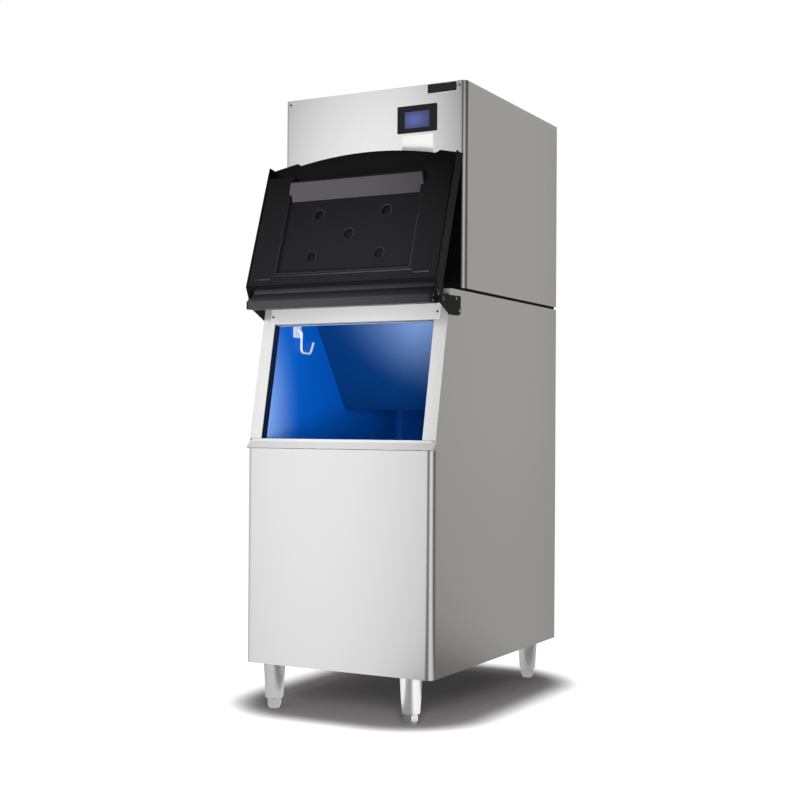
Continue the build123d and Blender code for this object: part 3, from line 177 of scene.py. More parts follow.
class IceMakerCamera(bpy.types.PropertyGroup):
    place: FloatVectorProperty(
        name="Place",
        description="Where the camera stands",
        subtype="TRANSLATION",
        unit="LENGTH",
        size=3,
        default=(1.8133, -3.4888, 0.7576),
    )
    turn: FloatProperty(
        name="Turn", description="Turn to the left from straight ahead", subtype="ANGLE", default=0.4967
    )
    tilt: FloatProperty(name="Tilt", description="Upward tilt", subtype="ANGLE", default=0.0157)
    roll: FloatProperty(
        name="Roll", description="Roll about the line of sight", subtype="ANGLE", default=0.0069
    )
    lens: FloatProperty(name="Lens", description="Focal length in millimetres", default=61.85, min=1.0)
    shift_x: FloatProperty(name="Shift across", description="Lens shift across", default=0.0169)
    shift_y: FloatProperty(name="Shift up", description="Lens shift up", default=0.0044)


class IceMakerLight(bpy.types.PropertyGroup):
    surround: FloatProperty(name="Surround", description="Strength of the white room", default=0.45, min=0.0)
    key_power: FloatProperty(
        name="Key", description="Power of the large lamp in front", subtype="POWER", default=22.0, min=0.0
    )
    side_power: FloatProperty(
        name="Side", description="Power of the lamp on the right", subtype="POWER", default=2.0, min=0.0
    )
    top_power: FloatProperty(
        name="Top", description="Power of the lamp above", subtype="POWER", default=45.0, min=0.0
    )
    mouth_power: FloatProperty(
        name="Mouth",
        description="Power of the small lamp that shines into the mouth",
        subtype="POWER",
        default=20.0,
        min=0.0,
    )
    floor_glow: FloatProperty(
        name="Floor glow", description="White added to the floor for the camera", default=0.60, min=0.0
    )


# How white the room is in reflections, by direction: degrees round +Z from +X, brightness
ROOM_CARDS = (
    (-180.0, 0.60),
    (-150.0, 0.85),
    (-132.0, 1.00),
    (-94.0, 1.00),
    (-84.0, 0.20),
    (-62.0, 0.20),
    (-52.0, 1.00),
    (-14.0, 1.00),
    (-4.0, 0.15),
    (36.0, 0.20),
    (50.0, 0.46),
    (80.0, 0.46),
    (118.0, 0.60),
    (180.0, 0.60),
)

# Shader effects used by several finishes

COLOUR_INPUT = ("Colour", "NodeSocketColor", (0.5, 0.5, 0.5, 1.0))
COLOUR_OUTPUT = ("Colour", "NodeSocketColor")
TEXTURE_OUTPUTS = (COLOUR_OUTPUT, ("Roughness", "NodeSocketFloat"), ("Height", "NodeSocketFloat"))
# Places of the share, the two colours and the result among the Mix node's sockets
MIX_SHARE, MIX_FIRST, MIX_SECOND, MIX_RESULT = 0, 6, 7, 2
CLOUD_SHARE = 0.35


def effect_group(name, inputs, outputs):
    """A shader node group with named sockets; returns it with its input and output nodes."""
    group = bpy.data.node_groups.new(name, "ShaderNodeTree")
    for label, kind, value in inputs:
        group.interface.new_socket(label, in_out="INPUT", socket_type=kind).default_value = value
    for label, kind in outputs:
        group.interface.new_socket(label, in_out="OUTPUT", socket_type=kind)
    return group, group.nodes.new("NodeGroupInput"), group.nodes.new("NodeGroupOutput")


def link(tree, source, out_name, target, in_name):
    tree.links.new(source.outputs[out_name], target.inputs[in_name])


def feed(tree, node, socket, source):
    """Links a (node, output) pair to an input, or writes a value on it."""
    if isinstance(source, tuple) and isinstance(source[0], bpy.types.Node):
        link(tree, *source, node, socket)
    else:
        node.inputs[socket].default_value = source


def math_node(tree, operation, *sources, kind="ShaderNodeMath"):
    """A Math node fed in order by numbers or by (node, output) pairs."""
    node = tree.nodes.new(kind)
    node.operation = operation
    for socket, source in enumerate(sources):
        feed(tree, node, socket, source)
    return node


def vector_node(tree, operation, *sources):
    """A Vector Math node fed in order by vectors or by (node, output) pairs."""
    return math_node(tree, operation, *sources, kind="ShaderNodeVectorMath")


def shaded(tree, colour, factor):
    """A colour made lighter or darker by a factor."""
    node = vector_node(tree, "SCALE", colour)
    feed(tree, node, "Scale", factor)
    return node


def noise(tree, place, scale, detail, roughness=0.5):
    node = tree.nodes.new("ShaderNodeTexNoise")
    settings = (("Vector", place), ("Scale", scale), ("Detail", detail), ("Roughness", roughness))
    for socket, source in settings:
        feed(tree, node, socket, source)
    return node


def smooth_range(tree, value, near, far, low, high):
    """Goes smoothly from low, where the value is near, to high, where it is far."""
    node = tree.nodes.new("ShaderNodeMapRange")
    node.interpolation_type = "SMOOTHSTEP"
    settings = (("Value", value), ("From Min", near), ("From Max", far), ("To Min", low), ("To Max", high))
    for socket, source in settings:
        feed(tree, node, socket, source)
    return node


def colour_mix(tree, share, first, second):
    node = tree.nodes.new("ShaderNodeMix")
    node.data_type = "RGBA"
    for socket, source in ((MIX_SHARE, share), (MIX_FIRST, first), (MIX_SECOND, second)):
        feed(tree, node, socket, source)
    return node


def vary(group, given, result, change):
    """Lets a change that swings round zero move a finish's colour and roughness."""
    swing = (change, "Value")
    tone = math_node(group, "MULTIPLY_ADD", swing, (given, "Colour change"), 1.0)
    tint = shaded(group, (given, "Colour"), (tone, "Value"))
    rough = math_node(group, "MULTIPLY_ADD", swing, (given, "Roughness change"), (given, "Roughness"))
    link(group, tint, "Vector", result, "Colour")
    link(group, rough, "Value", result, "Roughness")


def brushing_group():
    """Streaks along one direction, for rolled and brushed sheet."""
    group, given, result = effect_group(
        "Brushed streaks",
        (
            ("Stretch", "NodeSocketVector", (600.0, 600.0, 6.0)),
            COLOUR_INPUT,
            ("Colour change", "NodeSocketFloat", 0.06),
            ("Roughness", "NodeSocketFloat", 0.35),
            ("Roughness change", "NodeSocketFloat", 0.08),
        ),
        TEXTURE_OUTPUTS,
    )
    place = group.nodes.new("ShaderNodeTexCoord")
    stretch = vector_node(group, "MULTIPLY", (place, "Object"), (given, "Stretch"))
    streaks = noise(group, (stretch, "Vector"), scale=1.0, detail=3.0, roughness=0.6)
    clouds = noise(group, (place, "Object"), scale=5.0, detail=2.0)
    blend = math_node(group, "MULTIPLY_ADD", (clouds, "Fac"), CLOUD_SHARE, (streaks, "Fac"))
    centred = math_node(group, "SUBTRACT", (blend, "Value"), (1.0 + CLOUD_SHARE) / 2.0)
    vary(group, given, result, centred)
    link(group, streaks, "Fac", result, "Height")
    return group


def grain_group():
    """Fine even grain with broad soft patches, for moulded and coated surfaces."""
    group, given, result = effect_group(
        "Moulded grain",
        (
            ("Grain size", "NodeSocketFloat", 900.0),
            COLOUR_INPUT,
            ("Colour change", "NodeSocketFloat", 0.08),
            ("Roughness", "NodeSocketFloat", 0.45),
            ("Roughness change", "NodeSocketFloat", 0.10),
        ),
        TEXTURE_OUTPUTS,
    )
    place = group.nodes.new("ShaderNodeTexCoord")
    fine = noise(group, (place, "Object"), scale=(given, "Grain size"), detail=2.0)
    patches = noise(group, (place, "Object"), scale=7.0, detail=3.0)
    centred = math_node(group, "SUBTRACT", (patches, "Fac"), 0.5)
    vary(group, given, result, centred)
    link(group, fine, "Fac", result, "Height")
    return group


def painted_sheen_group():
    """A colour that falls off on either side of a bright band, as on a large brushed panel: a painted
    reflection with painted shade on both sides.
    """
    group, given, result = effect_group(
        "Panel sheen",
        (
            COLOUR_INPUT,
            ("Peak", "NodeSocketVector", (0.0, 0.0, 0.5)),
            ("Reach", "NodeSocketVector", (1.0, 1.0, 1.0)),
            ("Fall before", "NodeSocketVector", (0.0, 0.0, 0.0)),
            ("Fall after", "NodeSocketVector", (0.0, 0.0, 0.0)),
        ),
        (COLOUR_OUTPUT,),
    )
    place = group.nodes.new("ShaderNodeTexCoord")
    offset = vector_node(group, "SUBTRACT", (place, "Object"), (given, "Peak"))
    share = vector_node(group, "DIVIDE", (offset, "Vector"), (given, "Reach"))
    falls = []
    for side, operation in (("Fall after", "MAXIMUM"), ("Fall before", "MINIMUM")):
        part = vector_node(group, operation, (share, "Vector"), (0.0, 0.0, 0.0))
        squared = vector_node(group, "MULTIPLY", (part, "Vector"), (part, "Vector"))
        falls.append((vector_node(group, "DOT_PRODUCT", (squared, "Vector"), (given, side)), "Value"))
    lost = math_node(group, "ADD", *falls)
    kept = math_node(group, "SUBTRACT", 1.0, (lost, "Value"))
    tint = shaded(group, (given, "Colour"), (kept, "Value"))
    link(group, tint, "Vector", result, "Colour")
    return group


def colour_and_painted_light_pool_group():
    """A second colour that spreads softly round one place; used for painted pools of light and shade, and
    for the plain colour of the bracket screws.
    """
    group, given, result = effect_group(
        "Colour pool",
        (
            COLOUR_INPUT,
            ("Pool colour", "NodeSocketColor", (0.8, 0.8, 0.8, 1.0)),
            ("Place", "NodeSocketVector", (0.0, 0.0, 0.0)),
            ("Reach", "NodeSocketVector", (1.0, 1.0, 1.0)),
            ("Share", "NodeSocketFloat", 1.0),
        ),
        (COLOUR_OUTPUT,),
    )
    place = group.nodes.new("ShaderNodeTexCoord")
    offset = vector_node(group, "SUBTRACT", (place, "Object"), (given, "Place"))
    share = vector_node(group, "DIVIDE", (offset, "Vector"), (given, "Reach"))
    away = vector_node(group, "LENGTH", (share, "Vector"))
    fade = smooth_range(group, (away, "Value"), 0.0, 1.0, 1.0, 0.0)
    weight = math_node(group, "MULTIPLY", (fade, "Result"), (given, "Share"))
    blend = colour_mix(group, (weight, "Value"), (given, "Colour"), (given, "Pool colour"))
    link(group, blend, MIX_RESULT, result, "Colour")
    return group


def room_group():
    """How white the studio is in a reflection that leaves in a given direction."""
    group, given, result = effect_group(
        "Room cards",
        (("Direction", "NodeSocketVector", (0.0, -1.0, 0.0)),),
        (("White", "NodeSocketFloat"),),
    )
    parts = group.nodes.new("ShaderNodeSeparateXYZ")
    link(group, given, "Direction", parts, "Vector")
    turn = math_node(group, "ARCTAN2", (parts, "Y"), (parts, "X"))
    share = group.nodes.new("ShaderNodeMapRange")
    share.inputs["From Min"].default_value = -math.pi
    share.inputs["From Max"].default_value = math.pi
    link(group, turn, "Value", share, "Value")
    cards = group.nodes.new("ShaderNodeValToRGB")
    link(group, share, "Result", cards, "Fac")
    stops = cards.color_ramp.elements
    for _ in ROOM_CARDS[2:]:
        stops.new(0.5)
    for stop, (degrees, white) in zip(stops, ROOM_CARDS):
        stop.position = (degrees + 180.0) / 360.0
        stop.color = (white, white, white, 1.0)
    link(group, cards, "Color", result, "White")
    return group


GROUP_MAKERS = {
    "Brushed streaks": brushing_group,
    "Moulded grain": grain_group,
    "Panel sheen": painted_sheen_group,
    "Colour pool": colour_and_painted_light_pool_group,
    "Room cards": room_group,
}


def effect_node(tree, name, **values):
    """Places an effect group in a material; the values are named after its sockets."""
    node = tree.nodes.new("ShaderNodeGroup")
    node.node_tree = bpy.data.node_groups.get(name) or GROUP_MAKERS[name]()
    for socket, source in values.items():
        feed(tree, node, socket.replace("_", " ").capitalize(), source)
    return node


COAT_ROUGHNESS = 0.08


def finish_material(
    name,
    group_name,
    colour,
    roughness,
    colour_change,
    roughness_change,
    metallic=0.0,
    bump=0.1,
    depth=0.0004,
    coat=0.0,
    transmission=0.0,
    alpha=1.0,
    glow=0.0,
    gloss=0.5,
    sheen=None,
    pools=(),
    **group_inputs,
):
    """A Principled finish whose colour, roughness and bump come from one of the effect groups."""
    found = bpy.data.materials.get(name)
    if found:
        return found
    material = bpy.data.materials.new(name)
    material.use_nodes = True
    tree = material.node_tree
    shader = tree.nodes["Principled BSDF"]
    for label, value in (
        ("Metallic", metallic),
        ("Coat Weight", coat),
        ("Coat Roughness", COAT_ROUGHNESS),
        ("Transmission Weight", transmission),
        ("Alpha", alpha),
        ("Specular IOR Level", gloss),
    ):
        shader.inputs[label].default_value = value
    texture = effect_node(
        tree,
        group_name,
        colour=(*colour, 1.0),
        colour_change=colour_change,
        roughness=roughness,
        roughness_change=roughness_change,
        **group_inputs,
    )
    latest = texture
    # Painted sheen: a painted reflection band over the colour, with painted shade falling away from it
    if sheen:
        peak, reach, before, after = sheen
        latest = effect_node(
            tree,
            "Panel sheen",
            colour=(latest, "Colour"),
            peak=peak,
            reach=reach,
            fall_before=before,
            fall_after=after,
        )
    # Pools of a second colour: painted light and shade, and the bracket screws' own brighter colour
    for pool_colour, place, reach, share in pools:
        latest = effect_node(
            tree,
            "Colour pool",
            colour=(latest, "Colour"),
            pool_colour=(*pool_colour, 1.0),
            place=place,
            reach=reach,
            share=share,
        )
    link(tree, latest, "Colour", shader, "Base Color")
    link(tree, texture, "Roughness", shader, "Roughness")
    if glow:
        link(tree, latest, "Colour", shader, "Emission Color")
        shader.inputs["Emission Strength"].default_value = glow
    relief = tree.nodes.new("ShaderNodeBump")
    relief.inputs["Strength"].default_value = bump
    relief.inputs["Distance"].default_value = depth
    link(tree, texture, "Height", relief, "Height")
    link(tree, relief, "Normal", shader, "Normal")
    material.diffuse_color = (*colour, alpha)
    return material


# Bright screws of the brackets among the dark ones of the casing
SCREW_POOLS = (((0.60, 0.60, 0.61), (0.289, -0.35, 1.07), (0.008, 0.5, 0.3), 1.0),)
# Lit middle of the display: colour, place, reach on each axis, share
SCREEN_POOLS = (((0.055, 0.085, 0.30), (0.130, -0.235, 1.5745), (0.052, 1.0, 0.032), 1.0),)
# Soft light and shade in the bin and on its left jamb: colour, place, reach on each axis, share
LINER_POOLS = (
    ((0.001, 0.004, 0.10), (0.12, 0.36, 0.77), (0.55, 0.25, 0.15), 1.0),
    ((0.28, 0.50, 1.0), (-0.25, -0.40, 0.78), (0.12, 0.20, 0.34), 1.0),
)
DEFLECTOR_POOLS = (((0.30, 0.48, 0.85), (0.20, -0.15, 1.06), (0.40, 0.60, 0.28), 1.0),)
JAMB_POOLS = (((0.004, 0.014, 0.05), (-0.2418, -0.35, 0.90), (0.0030, 4.0, 4.0), 1.0),)
# Painted sheen of each panel, a painted reflection band with painted shade falling away from it: its peak,
# reach on each axis, fall before the peak, fall after it
BIN_FRONT_PAINTED_SHEEN = ((-0.08, 0.0, 0.62), (0.28, 1.0, 0.50), (0.18, 0.0, 0.08), (0.14, 0.0, 0.05))
HEAD_FRONT_PAINTED_SHEEN = ((0.02, 0.0, 1.42), (0.28, 1.0, 0.25), (0.27, 0.0, 0.0), (0.62, 0.0, 0.15))
SIDE_PAINTED_SHEEN = ((0.0, 0.0, 1.00), (1.0, 0.42, 0.90), (0.0, 0.05, 0.02), (0.0, 0.10, 0.0))
TOP_STRIP_PAINTED_SHEEN = ((-0.08, 0.0, 1.06), (0.30, 1.0, 0.05), (0.0, 0.0, 0.0), (0.28, 0.0, 0.0))
GRIP_PAINTED_SHEEN = ((-0.20, 0.0, 0.0), (0.40, 1.0, 1.0), (0.0, 0.0, 0.0), (0.50, 0.0, 0.0))
FRAME_PAINTED_SHEEN = ((-0.10, 0.0, 1.00), (0.40, 1.0, 0.40), (0.30, 0.0, 0.10), (0.45, 0.0, 0.0))
LEG_PAINTED_SHEEN = ((0.20, 0.0, 0.0), (0.40, 1.0, 1.0), (0.42, 0.0, 0.0), (0.0, 0.0, 0.0))
RAIL_PAINTED_SHEEN = ((-0.20, 0.0, 0.0), (0.50, 1.0, 1.0), (0.0, 0.0, 0.0), (0.70, 0.0, 0.0))
DOOR_PAINTED_SHEEN = ((0.0, 0.0, 1.12), (0.28, 1.0, 0.30), (0.10, 0.0, 0.0), (0.40, 0.0, 0.55))


def steel(name, colour, roughness=0.26, along="Z", **more):
    """Brushed sheet with streaks along the named axis."""
    stretch = {"X": (5.0, 500.0, 500.0), "Y": (500.0, 5.0, 500.0), "Z": (500.0, 500.0, 5.0)}[along]
    settings = dict(metallic=1.0, bump=0.03, depth=0.0002)
    settings.update(more)
    change = dict(colour_change=0.05, roughness_change=0.05)
    return finish_material(name, "Brushed streaks", colour, roughness, stretch=stretch, **change, **settings)


def plastic(name, colour, roughness=0.42, **more):
    """Moulded or coated surface with a fine even grain."""
    settings = dict(bump=0.08, depth=0.0003, grain_size=900.0)
    settings.update(more)
    change = dict(colour_change=0.10, roughness_change=0.12)
    return finish_material(name, "Moulded grain", colour, roughness, **change, **settings)


def dress(material, *names):
    """Gives the named CAD nodes one finish."""
    for name in names:
        node = NODES[name]
        node.data.materials.clear()
        node.data.materials.append(material)


def add_piece(name, mesh, material, body):
    """Adds a mesh to the scene as a piece of one body."""
    mesh.materials.append(material)
    piece = bpy.data.objects.new(name, mesh)
    bpy.context.scene.collection.objects.link(piece)
    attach(piece, body)


def finished_mesh(name, build):
    """Turns a bmesh into a mesh with its faces looking outwards."""
    mesh = bpy.data.meshes.new(name)
    bmesh.ops.recalc_face_normals(build, faces=build.faces)
    build.to_mesh(mesh)
    build.free()
    return mesh


def whole_turn(steps):
    """The angles of evenly spaced points on a circle."""
    return [2.0 * math.pi * step / steps for step in range(steps)]


def skin(build, rings, closed=False):
    """Faces between neighbouring rings of corners, with flat ends unless the rings close up."""
    pairs = list(zip(rings, rings[1:]))
    if closed:
        pairs.append((rings[-1], rings[0]))
    else:
        build.faces.new(rings[0])
        build.faces.new(rings[-1])
    for ring, following in pairs:
        for side, corner in enumerate(ring):
            beside = (side + 1) % len(ring)
            build.faces.new((corner, ring[beside], following[beside], following[side]))


def plate(name, left, right, low, high, proud, corner, material):
    """A thin plate with rounded corners and a small bevel, standing on the head's front."""
    front = HEAD_FRONT[0].y
    build = bmesh.new()
    outline = []
    for cx, cz, start in (
        (right - corner, high - corner, 0.0),
        (left + corner, high - corner, 90.0),
        (left + corner, low + corner, 180.0),
        (right - corner, low + corner, 270.0),
    ):
        for step in range(PLATE_CORNER_STEPS + 1):
            angle = math.radians(start + 90.0 * step / PLATE_CORNER_STEPS)
            outline.append((cx + corner * math.cos(angle), cz + corner * math.sin(angle)))
    face = build.faces.new([build.verts.new((x, front, z)) for x, z in outline])
    raised = bmesh.ops.extrude_face_region(build, geom=[face])
    top = [v for v in raised["geom"] if isinstance(v, bmesh.types.BMVert)]
    bmesh.ops.translate(build, verts=top, vec=(0.0, -proud, 0.0))
    face_y = front - proud
    rim = [edge for edge in build.edges if all(abs(v.co.y - face_y) < SAME_PLACE for v in edge.verts)]
    bmesh.ops.bevel(build, geom=rim, offset=proud * PLATE_BEVEL_SHARE, segments=2, affect="EDGES")
    add_piece(name, finished_mesh(name, build), material, "cabinet")


def door_point(x, rise, depth):
    """A point of the open door: rise up its back from the hinge line, depth towards the front."""
    return (
        x,
        HINGE.y + rise * math.sin(DOOR_LEAN) - depth * math.cos(DOOR_LEAN),
        HINGE.z + rise * math.cos(DOOR_LEAN) + depth * math.sin(DOOR_LEAN),
    )


def bead(name, paths, radius, material, sides=8):
    """Round moulded beads of the door; a path is (points, closed, how much thinner its dark side is)."""
    build = bmesh.new()
    for points, closed, uneven in paths:
        points = [Vector(point) for point in points]
        rings = []
        for place, (point, turn) in enumerate(zip(points, whole_turn(len(points)))):
            if closed:
                run = points[(place + 1) % len(points)] - points[place - 1]
            else:
                run = points[min(place + 1, len(points) - 1)] - points[max(place - 1, 0)]
            run.normalize()
            across = run.cross(DOOR_OUT).normalized()
            out = across.cross(run)
            thick = radius * (1.0 - uneven * (0.5 - 0.5 * math.cos(turn - BEAD_LIGHT_SIDE)))
            rings.append(
                [
                    build.verts.new(point + thick * (math.cos(angle) * across + math.sin(angle) * out))
                    for angle in whole_turn(sides)
                ]
            )
        skin(build, rings, closed)
    mesh = finished_mesh(name, build)
    mesh.polygons.foreach_set("use_smooth", [True] * len(mesh.polygons))
    add_piece(name, mesh, material, "door")


def turned(name, profile, place, material, body, sides=24):
    """A round piece on an axis along Y; the profile is (radius, distance towards the back)."""
    build = bmesh.new()
    rings = [
        [
            build.verts.new(
                (place[0] + radius * math.cos(angle), place[1] + back, place[2] + radius * math.sin(angle))
            )
            for angle in whole_turn(sides)
        ]
        for radius, back in profile
    ]
    skin(build, rings)
    add_piece(name, finished_mesh(name, build), material, body)


def film(name, corners, material, body):
    """A flat facing laid on a face of the machine."""
    mesh = bpy.data.meshes.new(name)
    mesh.from_pydata(corners, [], [tuple(range(len(corners)))])
    add_piece(name, mesh, material, body)


def paint_gap_shade(name, half_width, low, high):
    """A dark film of painted shade in a gap across the bin's front; its edges are given as (y, z)."""
    corners = [(-half_width, *low), (half_width, *low), (half_width, *high), (-half_width, *high)]
    gap_shade_finish = plastic("Seam rubber", (0.02, 0.02, 0.02), roughness=0.6, gloss=0.1)
    film(name, corners, gap_shade_finish, "cabinet")


class ICEMAKER_OT_bin_casing(bpy.types.Operator):
    """Finish the bin's outer sheets and the frame round the mouth, and add the two dark films of painted gap
    shade
    """

    bl_idname = "icemaker.bin_casing"
    bl_label = "Bin casing"

    def execute(self, context):
        colours = context.scene.icemaker_colours
        # Painted shade in the gaps under the sill and under the top strip
        paint_gap_shade("sill_seam", *SILL_GAP_SHADE)
        paint_gap_shade("mouth_seam", *MOUTH_GAP_SHADE)
        dress(steel("Bin front steel", colours.front_steel_painted_lighter, sheen=BIN_FRONT_PAINTED_SHEEN), "bin_front_panel")
        dress(
            steel("Bin side steel", colours.side_steel, sheen=SIDE_PAINTED_SHEEN),
            "bin_side_left",
            "bin_side_right",
        )
        dress(
            steel("Zinc sheet", colours.zinc, roughness=0.48, along="X"),
            "bin_rear_panel",
            "bin_floor_panel",
            "bin_top_deck",
        )
        frame_finish = dict(roughness=0.24, metallic=0.45, sheen=FRAME_PAINTED_SHEEN)
        dress(
            steel("Mouth frame satin", colours.frame_strip, **frame_finish),
            "frame_strip_right",
            "frame_sill",
        )
        top_finish = dict(roughness=0.30, along="X", metallic=0.10, sheen=TOP_STRIP_PAINTED_SHEEN)
        dress(steel("Top strip satin", (0.74, 0.74, 0.735), **top_finish), "frame_strip_top")
        dress(
            steel("Left strip satin", colours.frame_strip, pools=JAMB_POOLS, **frame_finish),
            "frame_strip_left",
        )
        return {"FINISHED"}


class ICEMAKER_OT_bin_inside(bpy.types.Operator):
    """Finish the liner, deflector, hook and foam, and the white mouldings of bin and head"""

    bl_idname = "icemaker.bin_inside"
    bl_label = "Bin inside"

    def execute(self, context):
        colours = context.scene.icemaker_colours
        blue_finish = dict(roughness=0.35, coat=0.1, gloss=0.25)
        dress(
            plastic("Blue liner", colours.liner, grain_size=400.0, pools=LINER_POOLS, **blue_finish),
            "bin_liner",
        )
        dress(
            plastic("Deflector blue", colours.deflector_painted_darker, pools=DEFLECTOR_POOLS, **blue_finish),
            "ice_deflector",
        )
        # The hook's glow is painted light: it glows a little though it is no lamp
        dress(
            plastic("Hook plastic", (0.80, 0.86, 0.95), roughness=0.25, coat=0.4, glow=0.10),
            "scoop_hook",
        )
        dress(
            plastic("White moulding", colours.white_plastic, roughness=0.35),
            "drain_fitting",
            "water_trough",
            "water_distributor",
            "level_float",
        )
        dress(
            plastic("Rigid foam", (0.70, 0.58, 0.30), roughness=0.9, grain_size=260.0, bump=0.5),
            "bin_foam",
        )
        return {"FINISHED"}


class ICEMAKER_OT_legs(bpy.types.Operator):
    """Finish the legs and levelling feet"""

    bl_idname = "icemaker.legs"
    bl_label = "Legs and feet"

    def execute(self, context):
        corners = ("front_left", "front_right", "rear_left", "rear_right")
        dress(
            steel("Leg steel", (0.95, 0.95, 0.95), roughness=0.22, metallic=0.90, sheen=LEG_PAINTED_SHEEN),
            *(f"leg_{corner}" for corner in corners),
        )
        dress(
            steel("Foot steel", (0.80, 0.80, 0.81), roughness=0.07, sheen=LEG_PAINTED_SHEEN),
            *(f"foot_{corner}" for corner in corners),
        )
        return {"FINISHED"}


class ICEMAKER_OT_door(bpy.types.Operator):
    """Finish the lift-up door, its rail and its hinges, and add its beads and the grip's film, both lighter
    than the door as painted highlight and painted light
    """

    bl_idname = "icemaker.door"
    bl_label = "Door"

    def execute(self, context):
        colours = context.scene.icemaker_colours
        door_finish = dict(roughness=0.34, grain_size=1500.0, gloss=0.05, sheen=DOOR_PAINTED_SHEEN)
        dress(
            plastic("Door plastic", colours.door, **door_finish),
            "door_shell",
            "door_panel",
            "rail_end_caps",
        )
        # The beads are real mouldings of the door's plastic; their lighter colour is a painted highlight
        # along them
        edge_painted_highlight = plastic("Moulded edge", (0.022, 0.022, 0.026), roughness=0.26, gloss=0.24)
        rims = []
        for x, rise in DIMPLES:
            ring = [
                door_point(
                    x + DIMPLE_RADIUS * math.cos(angle), rise + DIMPLE_RADIUS * math.sin(angle), SUNK_DEPTH
                )
                for angle in whole_turn(DIMPLE_STEPS)
            ]
            rims.append((ring, True, DIMPLE_UNEVEN))
        bead("dimple_rims", rims, DIMPLE_BEAD_RADIUS, edge_painted_highlight)
        field = [door_point(x, rise, BORDER_DEPTH) for x, rise in FIELD_OUTLINE]
        bead("panel_bead", [(field, False, 0.0)], FIELD_BEAD_RADIUS, edge_painted_highlight)
        ledge = [
            ([door_point(x, rise, BORDER_DEPTH) for x in (left, right)], False, 0.0)
            for left, right, rise in LEDGE_RUNS
        ]
        # The ledge bead is lighter still: painted highlight on the bright band under the field
        ledge_painted_highlight = plastic("Moulded ledge", (0.040, 0.040, 0.044), roughness=0.28, gloss=0.30)
        bead("panel_ledge", ledge, LEDGE_BEAD_RADIUS, ledge_painted_highlight)
        grip_finish = dict(roughness=0.45, gloss=0.15, sheen=GRIP_PAINTED_SHEEN)
        # The grip's film is the door's plastic made lighter: painted light on the wedge's slope, with
        # painted shade towards the right
        film(
            "grip_facing",
            [door_point(*corner) for corner in GRIP_OUTLINE],
            plastic("Grip facing", (0.085, 0.080, 0.092), **grip_finish),
            "door",
        )
        rail_finish = dict(roughness=0.38, along="X", metallic=0.6, gloss=0.2, sheen=RAIL_PAINTED_SHEEN)
        dress(steel("Rail finish", colours.rail, **rail_finish), "door_rail")
        dress(
            plastic("Bracket coat", (0.006, 0.006, 0.007), roughness=0.45, bump=0.2, gloss=0.10),
            "hinge_bracket_left",
            "hinge_bracket_right",
        )
        dress(steel("Pin steel", (0.10, 0.10, 0.11), roughness=0.30), "hinge_pins")
        dress(steel("Rail screw steel", (0.45, 0.45, 0.46), roughness=0.25), "rail_screws")
        return {"FINISHED"}


class ICEMAKER_OT_head_casing(bpy.types.Operator):
    """Finish the head's sheets, its seal and the screws, and add the mains gland"""

    bl_idname = "icemaker.head_casing"
    bl_label = "Head casing"

    def execute(self, context):
        colours = context.scene.icemaker_colours
        dress(steel("Head front steel", colours.front_steel_painted_lighter, sheen=HEAD_FRONT_PAINTED_SHEEN), "head_front_panel")
        dress(
            steel("Head side steel", colours.side_steel, sheen=SIDE_PAINTED_SHEEN),
            "head_side_left",
            "head_side_right",
        )
        dress(steel("Lid steel", colours.side_steel, along="X"), "head_lid")
        dress(
            steel("Head zinc sheet", colours.zinc, roughness=0.48, along="X"),
            "head_rear_panel",
            "head_floor_pan",
            "head_partition",
            "fan_shroud",
        )
        dress(
            plastic("Seal rubber", (0.008, 0.008, 0.008), roughness=0.7, bump=0.3, gloss=0.1),
            "head_gasket",
        )
        dress(
            steel("Screw steel", (0.07, 0.07, 0.075), roughness=0.30, pools=SCREW_POOLS),
            "cabinet_screws",
        )
        turned(
            "mains_gland",
            GLAND_PROFILE,
            (GLAND_X, HEAD_BACK, GLAND_Z),
            plastic("Gland plastic", (0.012, 0.012, 0.013), roughness=0.5),
            "cabinet",
        )
        return {"FINISHED"}


class ICEMAKER_OT_display(bpy.types.Operator):
    """Finish the display and add the bare badge and label"""

    bl_idname = "icemaker.display"
    bl_label = "Display and plates"

    def execute(self, context):
        colours = context.scene.icemaker_colours
        sizes = context.scene.icemaker_plates
        dress(plastic("Bezel plastic", (0.007, 0.007, 0.009), roughness=0.28, gloss=0.15), "display_bezel")
        glass_finish = dict(roughness=0.10, coat=0.2, glow=0.05, pools=SCREEN_POOLS)
        dress(plastic("Screen glass", colours.screen, **glass_finish), "display_screen")
        plate(
            "badge_rim",
            sizes.badge_left - sizes.badge_border,
            sizes.badge_right + sizes.badge_border,
            sizes.badge_low - sizes.badge_border,
            sizes.badge_high + sizes.badge_border,
            sizes.badge_proud * BADGE_RIM_SHARE,
            BADGE_CORNER,
            plastic("Badge silver", (0.55, 0.55, 0.56), roughness=0.30),
        )
        plate(
            "badge_plate",
            sizes.badge_left,
            sizes.badge_right,
            sizes.badge_low,
            sizes.badge_high,
            sizes.badge_proud,
            BADGE_CORNER,
            plastic("Badge gloss", colours.badge, roughness=0.18, gloss=0.15),
        )
        plate(
            "label_plate",
            sizes.label_left,
            sizes.label_right,
            sizes.label_low,
            sizes.label_high,
            sizes.label_proud,
            LABEL_CORNER,
            plastic("Label film", colours.label, roughness=0.40),
        )
        return {"FINISHED"}


